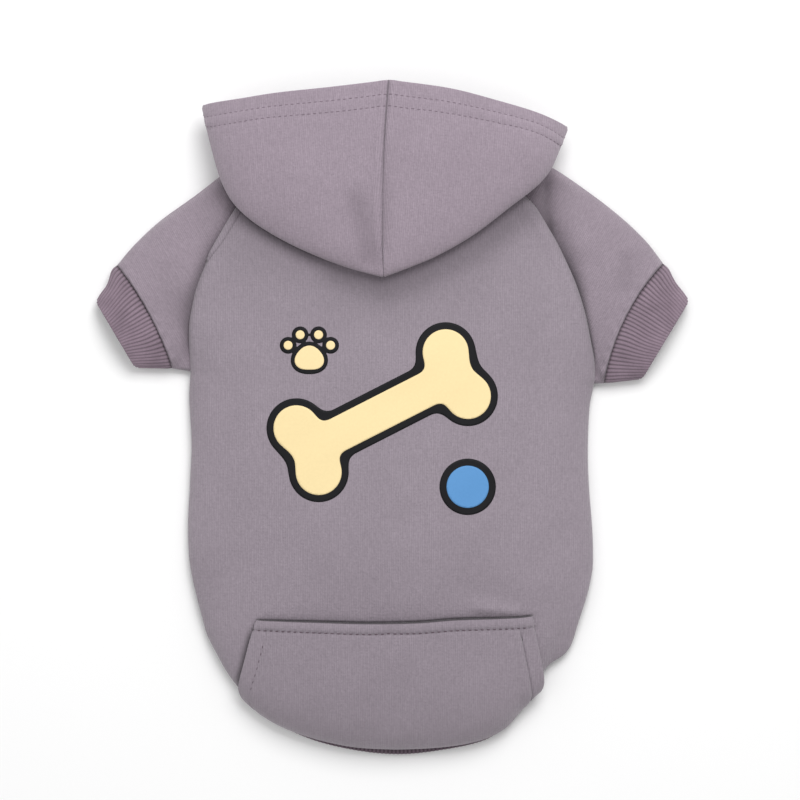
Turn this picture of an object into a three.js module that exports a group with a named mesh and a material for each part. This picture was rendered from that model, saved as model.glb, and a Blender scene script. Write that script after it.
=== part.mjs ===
// A dog hoodie of size M, laid flat on its belly side with the hood folded down on the back.
// Millimetres. +Z points up from the surface it lies on, +Y towards the head, +X to the right from above.
import * as THREE from "three";

// Cloth
const fabricWall = 2;
const ribWall = 2.2;
const seamGap = 0.36;
const layerGap = 0.9;
const edgeClearance = 3;

// Body, worked out from the underarm level, where y is 0
const chestHalfWidth = 111;
const neckHalfWidth = 66;
const neckShift = -6;
const yokeLength = 115;
const frontYokeLength = 128;
const neckDip = 9;
const frontNeckRise = 3;
const sideLength = 107;
const hemSideLength = 32;
const hemDrop = 63;
const underarmTilt = 3.3;
const bodyLoft = 23;
const foldHeight = 4.2;
const neckCornerHeight = 14.5;
const sideWrap = 0.6;
const topRoundness = 0.83;
const undersideRoundness = 0.4;
const undersideFlatness = 1.04;
const restRoundness = 2.4;
const raglanRise = 0.75;
const hemRoundness = 3.4;
const hemSideHold = 8;
const bellyRoundness = 0.7;

// Sleeves and cuffs
const sleeveReach = 41;
const sleeveWidth = 63;
const sleeveLoft = 14;
const shoulderHeight = 8;
const neckSideWidth = 8;
const cuffLength = 21;
const cuffWidth = 45;
const cuffLoft = 12;
const cuffRibDepth = 0.45;
const ribsPerCuffStep = 5;
const sleeveUndersideFlatness = 1.3;

// Waistband
const bandWidth = 21;
const bandRibDepth = 0.4;
const bandPeek = 5.4;
const bandStepsPerPanelStep = 4;
const bandSettling = 0.35;

// Hood
const hoodHalfWidth = 105;
const hoodLength = 108;
const hoodTipY = 55;
const hoodLoft = 38;
const hoodCrown = 2;
const hoodSeamBow = 1.8;
const throatLength = 11;
const throatRoundness = 0.7;
const hoodTurnStep = 1.8;
const hoodTurnSteps = 3;
const hoodTurnAngle = Math.PI / 3;
const hoodShoulderAngle = 0.35;
const hoodTurnHeight = 0.45;
const hoodRoundness = 2.5;
const hoodResting = 1.6;

// Pocket
const pocketBulge = 6.5;
const pocketGap = 0.75;
const pocketSlackLength = 0.87;
const pocketSlackFall = 1.3;
const pocketSlackWidth = 0.7;
const pocketFlareOut = 5;
const pocketFlareDown = 4;
const pocketFlareStart = 0.88;
const pocketSideBend = 0.8;
const pocketCornerTurn = 0.065;
const pocketCornerRoundness = 5;

// How finely each part is divided
const yokeSteps = 8;
const sideSteps = 8;
const hemSteps = 6;
const backSteps = 20;
const bellySteps = 10;
const neckSideSteps = 4;
const sleeveSteps = 7;
const cuffSteps = 2;
const pocketRows = 8;
const pocketColumns = 14;

// Where the back raglan seams run: up is a share of the yoke,
// left and right go from the neck, 0, to the chest, 1
const raglanRows = [
  { up: 0, left: 1, right: 0.986 },
  { up: 0.12, left: 1.008, right: 0.976 },
  { up: 0.24, left: 1.006, right: 0.922 },
  { up: 0.345, left: 0.956, right: 0.863 },
  { up: 0.433, left: 0.885, right: 0.794 },
  { up: 0.58, left: 0.708, right: 0.649 },
  { up: 0.69, left: 0.526, right: 0.514 },
  { up: 0.8, left: 0.333, right: 0.353 },
  { up: 0.9, left: 0.145, right: 0.14 },
  { up: 1, left: 0, right: 0 },
];

// The sides below the underarm: down is a share of the side,
// left and right are shares of the chest's half width
const sideRows = [
  { down: 0, left: 1, right: 0.994 },
  { down: 0.13, left: 1.008, right: 0.971 },
  { down: 0.37, left: 0.996, right: 0.962 },
  { down: 0.56, left: 1.004, right: 0.967 },
  { down: 0.77, left: 1.014, right: 0.983 },
  { down: 0.91, left: 1.01, right: 0.988 },
  { down: 1, left: 1, right: 0.985 },
  { down: 1.12, left: 0.976, right: 0.962 },
  { down: 1.3, left: 0.93, right: 0.905 },
];

// The rounded hem, as an ellipse whose reach changes with the angle;
// turn is a share of a half turn from right to left
const hemRows = [
  { turn: 0, reach: 1 },
  { turn: 0.07, reach: 0.97 },
  { turn: 0.115, reach: 0.911 },
  { turn: 0.18, reach: 0.913 },
  { turn: 0.225, reach: 0.953 },
  { turn: 0.265, reach: 0.99 },
  { turn: 0.305, reach: 1.036 },
  { turn: 0.345, reach: 1.053 },
  { turn: 0.43, reach: 1.026 },
  { turn: 0.51, reach: 1.012 },
  { turn: 0.63, reach: 1.012 },
  { turn: 0.73, reach: 0.995 },
  { turn: 0.8, reach: 0.975 },
  { turn: 0.87, reach: 0.962 },
  { turn: 0.93, reach: 0.964 },
  { turn: 1, reach: 1 },
];

// The front raglan seams under the garment, as the back ones
const frontRaglanRows = [
  { up: 0, edge: 1 },
  { up: 0.25, edge: 0.93 },
  { up: 0.5, edge: 0.68 },
  { up: 0.75, edge: 0.33 },
  { up: 1, edge: 0 },
];

// Height of the back's middle line, a share of the body's loft, from the hem, -1, to the neck, 1
const loftRows = [
  { place: -1.3, height: 0.96 },
  { place: -1, height: 0.97 },
  { place: -0.5, height: 1 },
  { place: 0, height: 1 },
  { place: 0.6, height: 0.98 },
  { place: 1, height: 0.93 },
];

// Ends of each cuff seam and free edge: out from the underarm in shares of the sleeve's reach,
// up in shares of the sleeve's width; bow is how far the seam curves in towards the body
const sleeveShapes = {
  left: { lowOut: 0.27, lowUp: 0.03, highOut: 1.0, highUp: 0.91, bow: 0.048 },
  right: { lowOut: 0.15, lowUp: 0.005, highOut: 0.935, highUp: 1.03, bow: 0.085 },
};

// Cuff corners beyond the seam's ends, in shares of the cuff's length along and of its width across
const cuffShapes = {
  left: { lowOut: 1.0, lowUp: 0.01, highOut: 0.56, highUp: -0.45 },
  right: { lowOut: 1.03, lowUp: 0.055, highOut: 0.69, highUp: -0.46 },
};

// The shoulder fold of each sleeve from the neck, 0, to the cuff seam, 1:
// how far it stands above the straight line, a share of its length
const shoulderRows = [
  { along: 0, left: 0, right: 0 },
  { along: 0.2, left: 0, right: 0.05 },
  { along: 0.4, left: 0.012, right: 0.066 },
  { along: 0.65, left: 0.034, right: 0.065 },
  { along: 0.85, left: 0.025, right: 0.042 },
  { along: 1, left: 0, right: 0 },
];

// Which way the shoulder fold bulges, and how soon the sleeve reaches its own height
const shoulderLean = { x: 0.6, y: 0.8 };
const sleeveSettling = 2.2;

// The hood's outline from the tip, 0, to the face corner, 1, and its height there;
// out is a share of the half width, up of the hood's length, height of its loft
const hoodOutline = {
  left: [
    { step: 0, out: 0.05, up: 0, height: 0.765 },
    { step: 0.15, out: 0.21, up: 0.03, height: 0.76 },
    { step: 0.3, out: 0.4, up: 0.09, height: 0.74 },
    { step: 0.45, out: 0.62, up: 0.195, height: 0.7 },
    { step: 0.6, out: 0.8, up: 0.33, height: 0.64 },
    { step: 0.75, out: 0.895, up: 0.49, height: 0.58 },
    { step: 0.9, out: 0.966, up: 0.74, height: 0.49 },
    { step: 1, out: 0.995, up: 0.865, height: 0.4 },
  ],
  right: [
    { step: 0, out: -0.05, up: 0, height: 0.765 },
    { step: 0.15, out: 0.2, up: 0.075, height: 0.76 },
    { step: 0.3, out: 0.42, up: 0.18, height: 0.74 },
    { step: 0.45, out: 0.6, up: 0.31, height: 0.7 },
    { step: 0.6, out: 0.745, up: 0.43, height: 0.64 },
    { step: 0.75, out: 0.82, up: 0.53, height: 0.58 },
    { step: 0.9, out: 0.865, up: 0.64, height: 0.49 },
    { step: 1, out: 0.91, up: 0.755, height: 0.4 },
  ],
};

// The hood's face edge from the forehead, 0, to the corner, 1
const hoodFace = {
  left: [
    { step: 0, out: 0.022, up: 0.988, height: 1 },
    { step: 0.3, out: 0.32, up: 0.952, height: 0.99 },
    { step: 0.6, out: 0.63, up: 0.921, height: 0.92 },
    { step: 0.8, out: 0.84, up: 0.891, height: 0.76 },
    { step: 0.92, out: 0.95, up: 0.875, height: 0.58 },
    { step: 1, out: 0.995, up: 0.865, height: 0.4 },
  ],
  right: [
    { step: 0, out: -0.022, up: 0.988, height: 1 },
    { step: 0.3, out: 0.3, up: 0.944, height: 0.99 },
    { step: 0.6, out: 0.57, up: 0.876, height: 0.92 },
    { step: 0.8, out: 0.75, up: 0.825, height: 0.76 },
    { step: 0.92, out: 0.86, up: 0.78, height: 0.58 },
    { step: 1, out: 0.91, up: 0.755, height: 0.4 },
  ],
};

// The pocket's sides on the lower back: left and right are angles, shares of a half turn from the right;
// depth and rise place its top edge below the belly hem's level, shares of the hem's drop
const pocketTop = { left: 0.722, right: 0.262, depth: 0.345, rise: 0.05 };
const pocketFoot = { left: 0.848, right: 0.17 };

// Stations along the hood's fabric between the neck, the fold and the face edge
const hoodLowerStations = [
  { turned: 0.12, open: 0.32 },
  { turned: 0.38, open: 0.5 },
  { turned: 0.66, open: 0.68 },
  { turned: 0.9, open: 0.86 },
];
const hoodUpperStations = [0.012, 0.07, 0.16, 0.29, 0.43, 0.58, 0.73, 0.87, 1];
const hoodFoldShare = 0.985;

const up = new THREE.Vector3(0, 0, 1);
const floorHeight = fabricWall / 2;
const cuffFloorHeight = (ribWall + cuffRibDepth) / 2;
const layerStep = fabricWall + layerGap;
const halfTurn = Math.PI;

const mix = THREE.MathUtils.lerp;
const clamp = THREE.MathUtils.clamp;
const ease = (t) => THREE.MathUtils.smoothstep(t, 0, 1);
const signedPower = (value, power) => Math.sign(value) * Math.abs(value) ** power;

// A smooth curve through one column of a table, read at a place along the table's first column.
function readColumn(table, key, name, place) {
  const last = table.length - 1;
  const slope = (i) => {
    const before = table[Math.max(i - 1, 0)];
    const after = table[Math.min(i + 1, last)];
    return (after[name] - before[name]) / (after[key] - before[key]);
  };
  let i = 0;
  while (i < last - 1 && place > table[i + 1][key]) i += 1;
  const width = table[i + 1][key] - table[i][key];
  const t = clamp((place - table[i][key]) / width, 0, 1);
  const t2 = t * t;
  const t3 = t2 * t;
  return (
    table[i][name] * (2 * t3 - 3 * t2 + 1) +
    slope(i) * width * (t3 - 2 * t2 + t) +
    table[i + 1][name] * (3 * t2 - 2 * t3) +
    slope(i + 1) * width * (t3 - t2)
  );
}

function makeGrid(rows, columns, pointAt) {
  return Array.from({ length: rows + 1 }, (_, r) =>
    Array.from({ length: columns + 1 }, (_, c) => pointAt(r / rows, c / columns, r, c)),
  );
}

// The body's left and right edge at a level, seen from above
function bodyEdges(y) {
  if (y > 0) {
    const share = y / yokeLength;
    const left = readColumn(raglanRows, "up", "left", share);
    const right = readColumn(raglanRows, "up", "right", share);
    return {
      left: -mix(neckHalfWidth - neckShift, chestHalfWidth, left),
      right: mix(neckHalfWidth + neckShift, chestHalfWidth, right),
    };
  }
  const down = -y / sideLength;
  return {
    left: -chestHalfWidth * readColumn(sideRows, "down", "left", down),
    right: chestHalfWidth * readColumn(sideRows, "down", "right", down),
  };
}

function bodyLevels(y) {
  const place = y > 0 ? y / yokeLength : y / sideLength;
  const rise = Math.sin((halfTurn / 2) * clamp(y / yokeLength, 0, 1)) ** raglanRise;
  return {
    top: bodyLoft * readColumn(loftRows, "place", "height", place),
    edge: mix(foldHeight, neckCornerHeight, rise),
  };
}

// A point of the back at an angle round the body: 0 is the right fold, half a turn the left one.
function backSection(angle, y) {
  const { left, right } = bodyEdges(y);
  const { top, edge } = bodyLevels(y);
  const rise = Math.sin(angle);
  const across = signedPower(Math.cos(angle), rise >= 0 ? topRoundness : undersideRoundness);
  const drop = Math.min(1, undersideFlatness * Math.abs(rise) ** undersideRoundness);
  return new THREE.Vector3(
    mix(left, right, (across + 1) / 2),
    y,
    rise >= 0 ? mix(edge, top, rise) : mix(edge, floorHeight, drop),
  );
}

// Height of the back's surface over a place, with the seam's own height beyond its edges
function backHeight(x, y) {
  const level = clamp(y, -sideLength, yokeLength);
  const { left, right } = bodyEdges(level);
  const { top, edge } = bodyLevels(level);
  const across = clamp((2 * (x - left)) / (right - left) - 1, -1, 1);
  return mix(edge, top, Math.sqrt(1 - Math.abs(across) ** restRoundness));
}

function sideWrapAt(y) {
  const share = clamp(-y / sideLength, 0, 1);
  return sideWrap * Math.sin(halfTurn * share) ** 2;
}

function tiltedLevel(y, across) {
  const reach = y > 0 ? 1 - y / yokeLength : 1 + y / sideLength;
  return y - underarmTilt * across * ease(clamp(reach, 0, 1));
}

// The lower end of the back, where rows change from straight to the rounded hem
function hemPoint(angle, w) {
  const start = backSection(angle, -sideLength);
  const end = bodyEdges(-sideLength - hemSideLength);
  const reach = readColumn(hemRows, "turn", "reach", angle / halfTurn);
  const x = mix(end.left, end.right, (Math.cos(angle) * reach + 1) / 2);
  const side = bodyEdges(-sideLength - hemSideLength * w);
  const sideShift = mix(side.left, side.right, (Math.cos(angle) + 1) / 2);
  const straight = bodyEdges(-sideLength);
  const straightX = mix(straight.left, straight.right, (Math.cos(angle) + 1) / 2);
  const nearSide = Math.abs(Math.cos(angle)) ** hemSideHold;
  const blended = mix(start.x, x, w);
  const followed = start.x + (sideShift - straightX);
  const fall = Math.sqrt(Math.max(0, 1 - w ** hemRoundness));
  return new THREE.Vector3(
    mix(blended, followed, nearSide * (1 - w)),
    -sideLength - w * (hemSideLength + hemDrop * Math.sin(angle) * reach),
    mix(foldHeight, start.z, fall),
  );
}

// The back panel: rows from the neck to the hem, columns from left to right
const yokeLevel = (r) => yokeLength * (1 - r / yokeSteps);

function backPoint(row, share) {
  if (row <= yokeSteps) {
    const y = yokeLevel(row);
    const angle = halfTurn * (1 - share);
    const across = Math.cos(angle);
    const dip = neckDip * (y / yokeLength) ** 2 * (1 - across * across);
    const point = backSection(angle, y - dip);
    point.y = tiltedLevel(y - dip, across);
    return point;
  }
  const sideRow = row - yokeSteps;
  if (sideRow <= sideSteps) {
    const y = (-sideLength * sideRow) / sideSteps;
    const wrap = sideWrapAt(y);
    const angle = mix(halfTurn + wrap, -wrap, share);
    const point = backSection(angle, y);
    point.y = tiltedLevel(y, Math.cos(angle));
    return point;
  }
  const w = Math.sin(((halfTurn / 2) * (sideRow - sideSteps)) / hemSteps);
  return hemPoint(halfTurn * (1 - share), w);
}

const backRows = yokeSteps + sideSteps + hemSteps;
const backGrid = makeGrid(backRows, backSteps, (r, c, row) => backPoint(row, c));

// The belly panel: rows from the neck to the belly hem, columns from left to right
function bellyPoint(row, share, column) {
  const sideRow = row - yokeSteps;
  if (sideRow >= 0 && (column === 0 || column === bellySteps))
    return backGrid[row][column === 0 ? 0 : backSteps].clone();
  if (sideRow >= 0) {
    const y = (-sideLength * sideRow) / sideSteps;
    const wrap = sideWrapAt(y);
    const angle = mix(-halfTurn + wrap, -wrap, share);
    const point = backSection(angle, y);
    point.y = tiltedLevel(y, Math.cos(angle));
    return point;
  }
  const rise = 1 - row / yokeSteps;
  const edge = readColumn(frontRaglanRows, "up", "edge", rise);
  const chest = bodyEdges(0);
  const left = mix(-(neckHalfWidth - neckShift), chest.left, edge);
  const right = mix(neckHalfWidth + neckShift, chest.right, edge);
  const across = -Math.cos(halfTurn * share);
  const lift = mix(foldHeight, floorHeight, ease(clamp(rise * yokeSteps, 0, 1)));
  const drop = Math.min(1, undersideFlatness * Math.sin(halfTurn * share) ** undersideRoundness);
  const y = frontYokeLength * rise + frontNeckRise * rise * (1 - across * across);
  return new THREE.Vector3(
    mix(left, right, (signedPower(across, bellyRoundness) + 1) / 2),
    y - underarmTilt * across * ease(1 - rise),
    mix(lift, floorHeight, drop),
  );
}

const bellyRows = yokeSteps + sideSteps;
const bellyGrid = makeGrid(bellyRows, bellySteps, (r, c, row, column) =>
  bellyPoint(row, c, column),
);

// The piece of the neckline that belongs to a sleeve, from the back panel's corner to the belly panel's
function neckSide(sign) {
  const back = backGrid[0][sign < 0 ? 0 : backSteps];
  const front = bellyGrid[0][sign < 0 ? 0 : bellySteps];
  const middle = new THREE.Vector3(
    (back.x + front.x) / 2 + sign * neckSideWidth,
    (back.y + front.y) / 2,
    shoulderHeight,
  );
  const curve = new THREE.QuadraticBezierCurve3(
    back,
    middle.clone().multiplyScalar(2).addScaledVector(back, -0.5).addScaledVector(front, -0.5),
    front,
  );
  return curve.getPoints(neckSideSteps);
}

// The armhole ring: from the underarm up the back seam, along the neck, and down the front seam
function armhole(sign) {
  const backColumn = sign < 0 ? 0 : backSteps;
  const frontColumn = sign < 0 ? 0 : bellySteps;
  const ring = [];
  for (let r = yokeSteps; r > 0; r -= 1) ring.push(backGrid[r][backColumn]);
  ring.push(...neckSide(sign));
  for (let r = 1; r < yokeSteps; r += 1) ring.push(bellyGrid[r][frontColumn]);
  return ring;
}

const ringSteps = 2 * yokeSteps + neckSideSteps;
const shoulderIndex = yokeSteps + neckSideSteps / 2;

// How near a place on the ring is to the shoulder: 0 at the underarm, 1 at the shoulder fold
function ringShare(k) {
  return k <= shoulderIndex ? k / shoulderIndex : (ringSteps - k) / (ringSteps - shoulderIndex);
}

// A flattened ring between a low and a high end, bowed towards the body, lying on the floor
function flatRing(low, high, bow, loft, underside) {
  const along = high.clone().sub(low);
  const inward = new THREE.Vector3(along.y, -along.x, 0).normalize();
  return Array.from({ length: ringSteps }, (_, k) => {
    const top = k <= shoulderIndex;
    const share = ringShare(k);
    const across = (1 - Math.cos(halfTurn * share)) / 2;
    const rise = Math.sin(halfTurn * share);
    const point = low.clone().addScaledVector(along, across);
    point.addScaledVector(inward, bow * 4 * across * (1 - across));
    const drop = Math.min(1, sleeveUndersideFlatness * rise);
    point.z = top ? mix(foldHeight, loft, rise) : mix(foldHeight, underside, drop);
    return point;
  });
}

// The cuff seam's two ends, seen from above, and how far it bows towards the body
function cuffSeam(side, sign) {
  const shape = sleeveShapes[side];
  const underarm = armhole(sign)[0];
  const end = (out, rise) =>
    new THREE.Vector3(
      underarm.x + sign * sleeveReach * out,
      underarm.y + sleeveWidth * rise,
      0,
    );
  return {
    low: end(shape.lowOut, shape.lowUp),
    high: end(shape.highOut, shape.highUp),
    bow: -sign * sleeveWidth * shape.bow,
  };
}

// A sleeve: rows from the armhole to the cuff seam, columns round the arm
function sleeveGrid(side, sign) {
  const start = armhole(sign);
  const { low, high, bow } = cuffSeam(side, sign);
  const end = flatRing(low, high, bow, sleeveLoft, cuffFloorHeight);
  const reach = start[shoulderIndex].distanceTo(end[shoulderIndex]);
  return makeGrid(sleeveSteps, ringSteps, (s, c, row, column) => {
    const k = column % ringSteps;
    const point = start[k].clone().lerp(end[k], s);
    const share = ringShare(k);
    const nearShoulder = ((1 - Math.cos(halfTurn * share)) / 2) ** 2;
    const lift = reach * nearShoulder * readColumn(shoulderRows, "along", side, s);
    point.x += sign * lift * shoulderLean.x;
    point.y += lift * shoulderLean.y;
    point.z = mix(start[k].z, end[k].z, ease(clamp(s * sleeveSettling, 0, 1)));
    return point;
  });
}

// A cuff before its ribs: rows from the seam to the free edge, columns as the sleeve's
function cuffGrid(side, sign, seam) {
  const shape = cuffShapes[side];
  const { low, high } = cuffSeam(side, sign);
  const end = (from, out, rise) =>
    new THREE.Vector3(from.x + sign * cuffLength * out, from.y + cuffWidth * rise, 0);
  const edge = flatRing(
    end(low, shape.lowOut, shape.lowUp),
    end(high, shape.highOut, shape.highUp),
    0,
    cuffLoft,
    cuffFloorHeight,
  );
  return makeGrid(cuffSteps, ringSteps, (s, c, row, column) => {
    const k = column % ringSteps;
    return seam[k].clone().lerp(edge[k], s);
  });
}

// The hood's lines from the neck to the face edge
const hoodSteps = backSteps / 2 + neckSideSteps + bellySteps / 2;
const cornerIndex = backSteps / 2 + neckSideSteps - 1;

function neckline(sign) {
  const line = [];
  for (let c = 0; c <= backSteps / 2; c += 1) line.push(backGrid[0][backSteps / 2 + sign * c]);
  line.push(...neckSide(sign).slice(1));
  for (let c = 1; c <= bellySteps / 2; c += 1) {
    const column = sign < 0 ? c : bellySteps - c;
    line.push(bellyGrid[0][column]);
  }
  return line;
}

function hoodTablePoint(table, sign, step) {
  return new THREE.Vector3(
    sign * hoodHalfWidth * readColumn(table, "step", "out", step),
    hoodTipY + hoodLength * readColumn(table, "step", "up", step),
    hoodLoft * readColumn(table, "step", "height", step),
  );
}

// The ends of one line of the hood: at the neck, at the fold where it has one, and at the face edge
function hoodEnds(side, sign, index) {
  const line = neckline(sign);
  const neck = line[index];
  const step = Math.min(1, index / cornerIndex);
  const face = hoodTablePoint(hoodFace[side], sign, step);
  if (index <= cornerIndex) return { neck, fold: hoodTablePoint(hoodOutline[side], sign, step), face };
  const share = (index - cornerIndex) / (hoodSteps - cornerIndex);
  const turn = Math.sin((halfTurn / 2) * share);
  const throat = line[hoodSteps].clone();
  throat.y += throatLength;
  const edge = new THREE.Vector3(
    mix(face.x, throat.x, share),
    mix(face.y, throat.y, turn),
    mix(face.z, throat.z, turn ** throatRoundness),
  );
  return { neck, face: edge };
}

// Which way the hood leaves the neckline: towards the head at the back, most outwards at the shoulder
const headingRows = [
  { place: 0, sideways: 0 },
  { place: backSteps / 2 - 3, sideways: 0 },
  { place: backSteps / 2 + neckSideSteps / 2, sideways: 0.8 },
  { place: backSteps / 2 + neckSideSteps, sideways: 0.32 },
  { place: hoodSteps, sideways: 0 },
];

function hoodHeading(sign, index) {
  const after = headingRows.findIndex((row, i) => i > 0 && index <= row.place);
  const { place, sideways } = headingRows[after - 1];
  const share = (index - place) / (headingRows[after].place - place);
  const out = mix(sideways, headingRows[after].sideways, share);
  return new THREE.Vector3(sign * out, Math.sqrt(1 - out * out), 0);
}

// How far the hood's line lies folded back, from 1 at the back of the neck to 0 at the shoulder
const hoodTurned = (index) => 1 - ease(clamp((index - backSteps / 2 + 2) / 4, 0, 1));

// One line of the hood: up from the neck, back over the yoke to the fold, and over itself to the face edge.
// Past the corner it runs straight from the neck to the throat's edge.
function hoodLine(side, sign, index) {
  const { neck, fold, face } = hoodEnds(side, sign, index);
  const turned = hoodTurned(index);
  const points = [neck.clone()];
  if (!fold) {
    const steps = hoodTurnSteps + hoodLowerStations.length + 2 + hoodUpperStations.length;
    for (let j = 1; j <= steps; j += 1) points.push(neck.clone().lerp(face, j / steps));
    return points;
  }
  const heading = hoodHeading(sign, index);
  for (let j = 0; j < hoodTurnSteps; j += 1) {
    const angle = hoodTurnAngle * turned * (j + 0.5) + hoodShoulderAngle * (1 - turned);
    const step = heading.clone().multiplyScalar(Math.cos(angle)).addScaledVector(up, Math.sin(angle));
    points.push(points[j].clone().addScaledVector(step, hoodTurnStep));
  }
  const restHeight = (x, y) => backHeight(x - sign * edgeClearance, y) + layerStep;
  const start = points[hoodTurnSteps];
  hoodLowerStations.forEach((station) => {
    const share = mix(station.open, station.turned, turned);
    const point = neck.clone().lerp(fold, share);
    const straight = mix(start.z, fold.z - layerStep, share);
    point.z = mix(straight, restHeight(point.x, point.y), clamp(hoodResting * turned, 0, 1));
    points.push(point);
  });
  const turnIn = neck.clone().lerp(fold, hoodFoldShare);
  turnIn.z = mix(points[points.length - 1].z, fold.z, hoodTurnHeight);
  points.push(turnIn, fold.clone());
  const nearSeam = ease(clamp(1 - index / (backSteps / 2), 0, 1));
  hoodUpperStations.forEach((share) => {
    const point = fold.clone().lerp(face, share);
    const swell = Math.sin(halfTurn * share);
    const rise = Math.sqrt(1 - (1 - share) ** hoodRoundness);
    point.x -= hoodSeamBow * swell * nearSeam;
    point.z = mix(fold.z, face.z, rise) + hoodCrown * swell * turned;
    points.push(point);
  });
  return points;
}

function hoodGrid(side, sign) {
  const lines = Array.from({ length: hoodSteps + 1 }, (_, i) => hoodLine(side, sign, i));
  return makeGrid(lines[0].length - 1, hoodSteps, (s, c, row, column) => lines[column][row]);
}

// Unit normals of a grid's points, out of the garment when out is 1
function gridNormals(grid, out, closed) {
  const rows = grid.length - 1;
  const columns = grid[0].length - 1;
  const wrapped = (c) => (closed ? (c + columns) % columns : clamp(c, 0, columns));
  return grid.map((line, r) =>
    line.map((point, c) => {
      const down = grid[Math.min(r + 1, rows)][c].clone().sub(grid[Math.max(r - 1, 0)][c]);
      const right = grid[r][wrapped(c + 1)].clone().sub(grid[r][wrapped(c - 1)]);
      return down.cross(right).normalize().multiplyScalar(out);
    }),
  );
}

// Normals shared by all the pieces that meet at a point, so that neighbouring edges lie parallel
const sharedNormals = new Map();
const pointKey = (point) => point.toArray().map((v) => v.toFixed(4)).join(" ");

function shareNormals(grid, normals) {
  const seen = new Set();
  grid.forEach((line, r) =>
    line.forEach((point, c) => {
      const key = pointKey(point);
      if (seen.has(key)) return;
      seen.add(key);
      const sum = sharedNormals.get(key) ?? new THREE.Vector3();
      sharedNormals.set(key, sum.add(normals[r][c]));
    }),
  );
}

// Moves a grid's open edges back by half of the seam gap, square to the seam
function pullBack(grid, closed, edges) {
  const rows = grid.length - 1;
  const columns = grid[0].length - 1;
  const wrapped = (c) => (closed ? (c + columns) % columns : clamp(c, 0, columns));
  const along = (before, after) => after.clone().sub(before).normalize();
  return grid.map((line, r) =>
    line.map((point, c) => {
      const moved = point.clone();
      const away = (other, seam) => {
        const step = other.clone().sub(point);
        step.addScaledVector(seam, -step.dot(seam));
        moved.addScaledVector(step.normalize(), seamGap / 2);
      };
      const rowSeam = along(line[wrapped(c - 1)], line[wrapped(c + 1)]);
      const columnSeam = along(grid[Math.max(r - 1, 0)][c], grid[Math.min(r + 1, rows)][c]);
      if (r === 0 && edges.first) away(grid[1][c], rowSeam);
      if (r === rows && edges.last) away(grid[rows - 1][c], rowSeam);
      if (!closed && c === 0 && edges.left) away(line[1], columnSeam);
      if (!closed && c === columns && edges.right) away(line[columns - 1], columnSeam);
      return moved;
    }),
  );
}

// A closed solid with the given wall round a grid of points in the middle of the cloth
function clothSolid(grid, normals, wall, out, closed) {
  const rows = grid.length - 1;
  const columns = closed ? grid[0].length - 1 : grid[0].length;
  const positions = [];
  const layer = (r, c, side) => {
    const offset = (side * wall) / 2;
    return grid[r][c].clone().addScaledVector(normals[r][c], offset);
  };
  for (const side of [1, -1])
    for (let r = 0; r <= rows; r += 1)
      for (let c = 0; c < columns; c += 1) positions.push(...layer(r, c, side).toArray());
  const count = (rows + 1) * columns;
  const outer = (r, c) => r * columns + (c % columns);
  const inner = (r, c) => count + outer(r, c);
  const index = [];
  const quad = (a, b, c, d) => {
    if (out > 0) index.push(a, b, c, a, c, d);
    else index.push(a, c, b, a, d, c);
  };
  // The wall's own edge is split along its shorter diagonal, so that neighbouring edges are split alike
  const spot = (i) => new THREE.Vector3().fromArray(positions, 3 * i);
  const rim = (a, b, c, d) => {
    if (spot(a).distanceTo(spot(c)) < spot(b).distanceTo(spot(d))) quad(a, b, c, d);
    else quad(b, c, d, a);
  };
  const steps = closed ? columns : columns - 1;
  for (let r = 0; r < rows; r += 1)
    for (let c = 0; c < steps; c += 1) {
      quad(outer(r, c), outer(r + 1, c), outer(r + 1, c + 1), outer(r, c + 1));
      quad(inner(r, c), inner(r, c + 1), inner(r + 1, c + 1), inner(r + 1, c));
    }
  for (let c = 0; c < steps; c += 1) {
    rim(outer(0, c), outer(0, c + 1), inner(0, c + 1), inner(0, c));
    rim(outer(rows, c + 1), outer(rows, c), inner(rows, c), inner(rows, c + 1));
  }
  if (!closed)
    for (let r = 0; r < rows; r += 1) {
      const end = columns - 1;
      rim(outer(r + 1, 0), outer(r, 0), inner(r, 0), inner(r + 1, 0));
      rim(outer(r, end), outer(r + 1, end), inner(r + 1, end), inner(r, end));
    }
  const geometry = new THREE.BufferGeometry();
  geometry.setAttribute("position", new THREE.Float32BufferAttribute(positions, 3));
  geometry.setIndex(index);
  geometry.computeVertexNormals();
  return geometry;
}

// Every sewn piece, with the side that faces out and the edges that meet a neighbour
const sleeveLeftGrid = sleeveGrid("left", -1);
const sleeveRightGrid = sleeveGrid("right", 1);
const allEdges = { first: true, last: true, left: true, right: true };
const sewn = {
  back_panel: { grid: backGrid, out: 1, edges: allEdges },
  belly_panel: { grid: bellyGrid, out: -1, edges: allEdges },
  sleeve_left: { grid: sleeveLeftGrid, out: -1, closed: true, edges: allEdges },
  sleeve_right: { grid: sleeveRightGrid, out: 1, closed: true, edges: allEdges },
  cuff_left: {
    grid: cuffGrid("left", -1, sleeveLeftGrid[sleeveSteps]),
    out: -1,
    closed: true,
    edges: { first: true },
  },
  cuff_right: {
    grid: cuffGrid("right", 1, sleeveRightGrid[sleeveSteps]),
    out: 1,
    closed: true,
    edges: { first: true },
  },
  hood_left: { grid: hoodGrid("left", -1), out: 1, edges: { ...allEdges, last: false } },
  hood_right: { grid: hoodGrid("right", 1), out: -1, edges: { ...allEdges, last: false } },
};
for (const piece of Object.values(sewn)) {
  piece.normals = gridNormals(piece.grid, piece.out, piece.closed);
  shareNormals(piece.grid, piece.normals);
}
for (const piece of Object.values(sewn)) {
  piece.normals = piece.grid.map((line) =>
    line.map((point) => sharedNormals.get(pointKey(point)).clone().normalize()),
  );
  piece.moved = pullBack(piece.grid, piece.closed, piece.edges);
}

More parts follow.
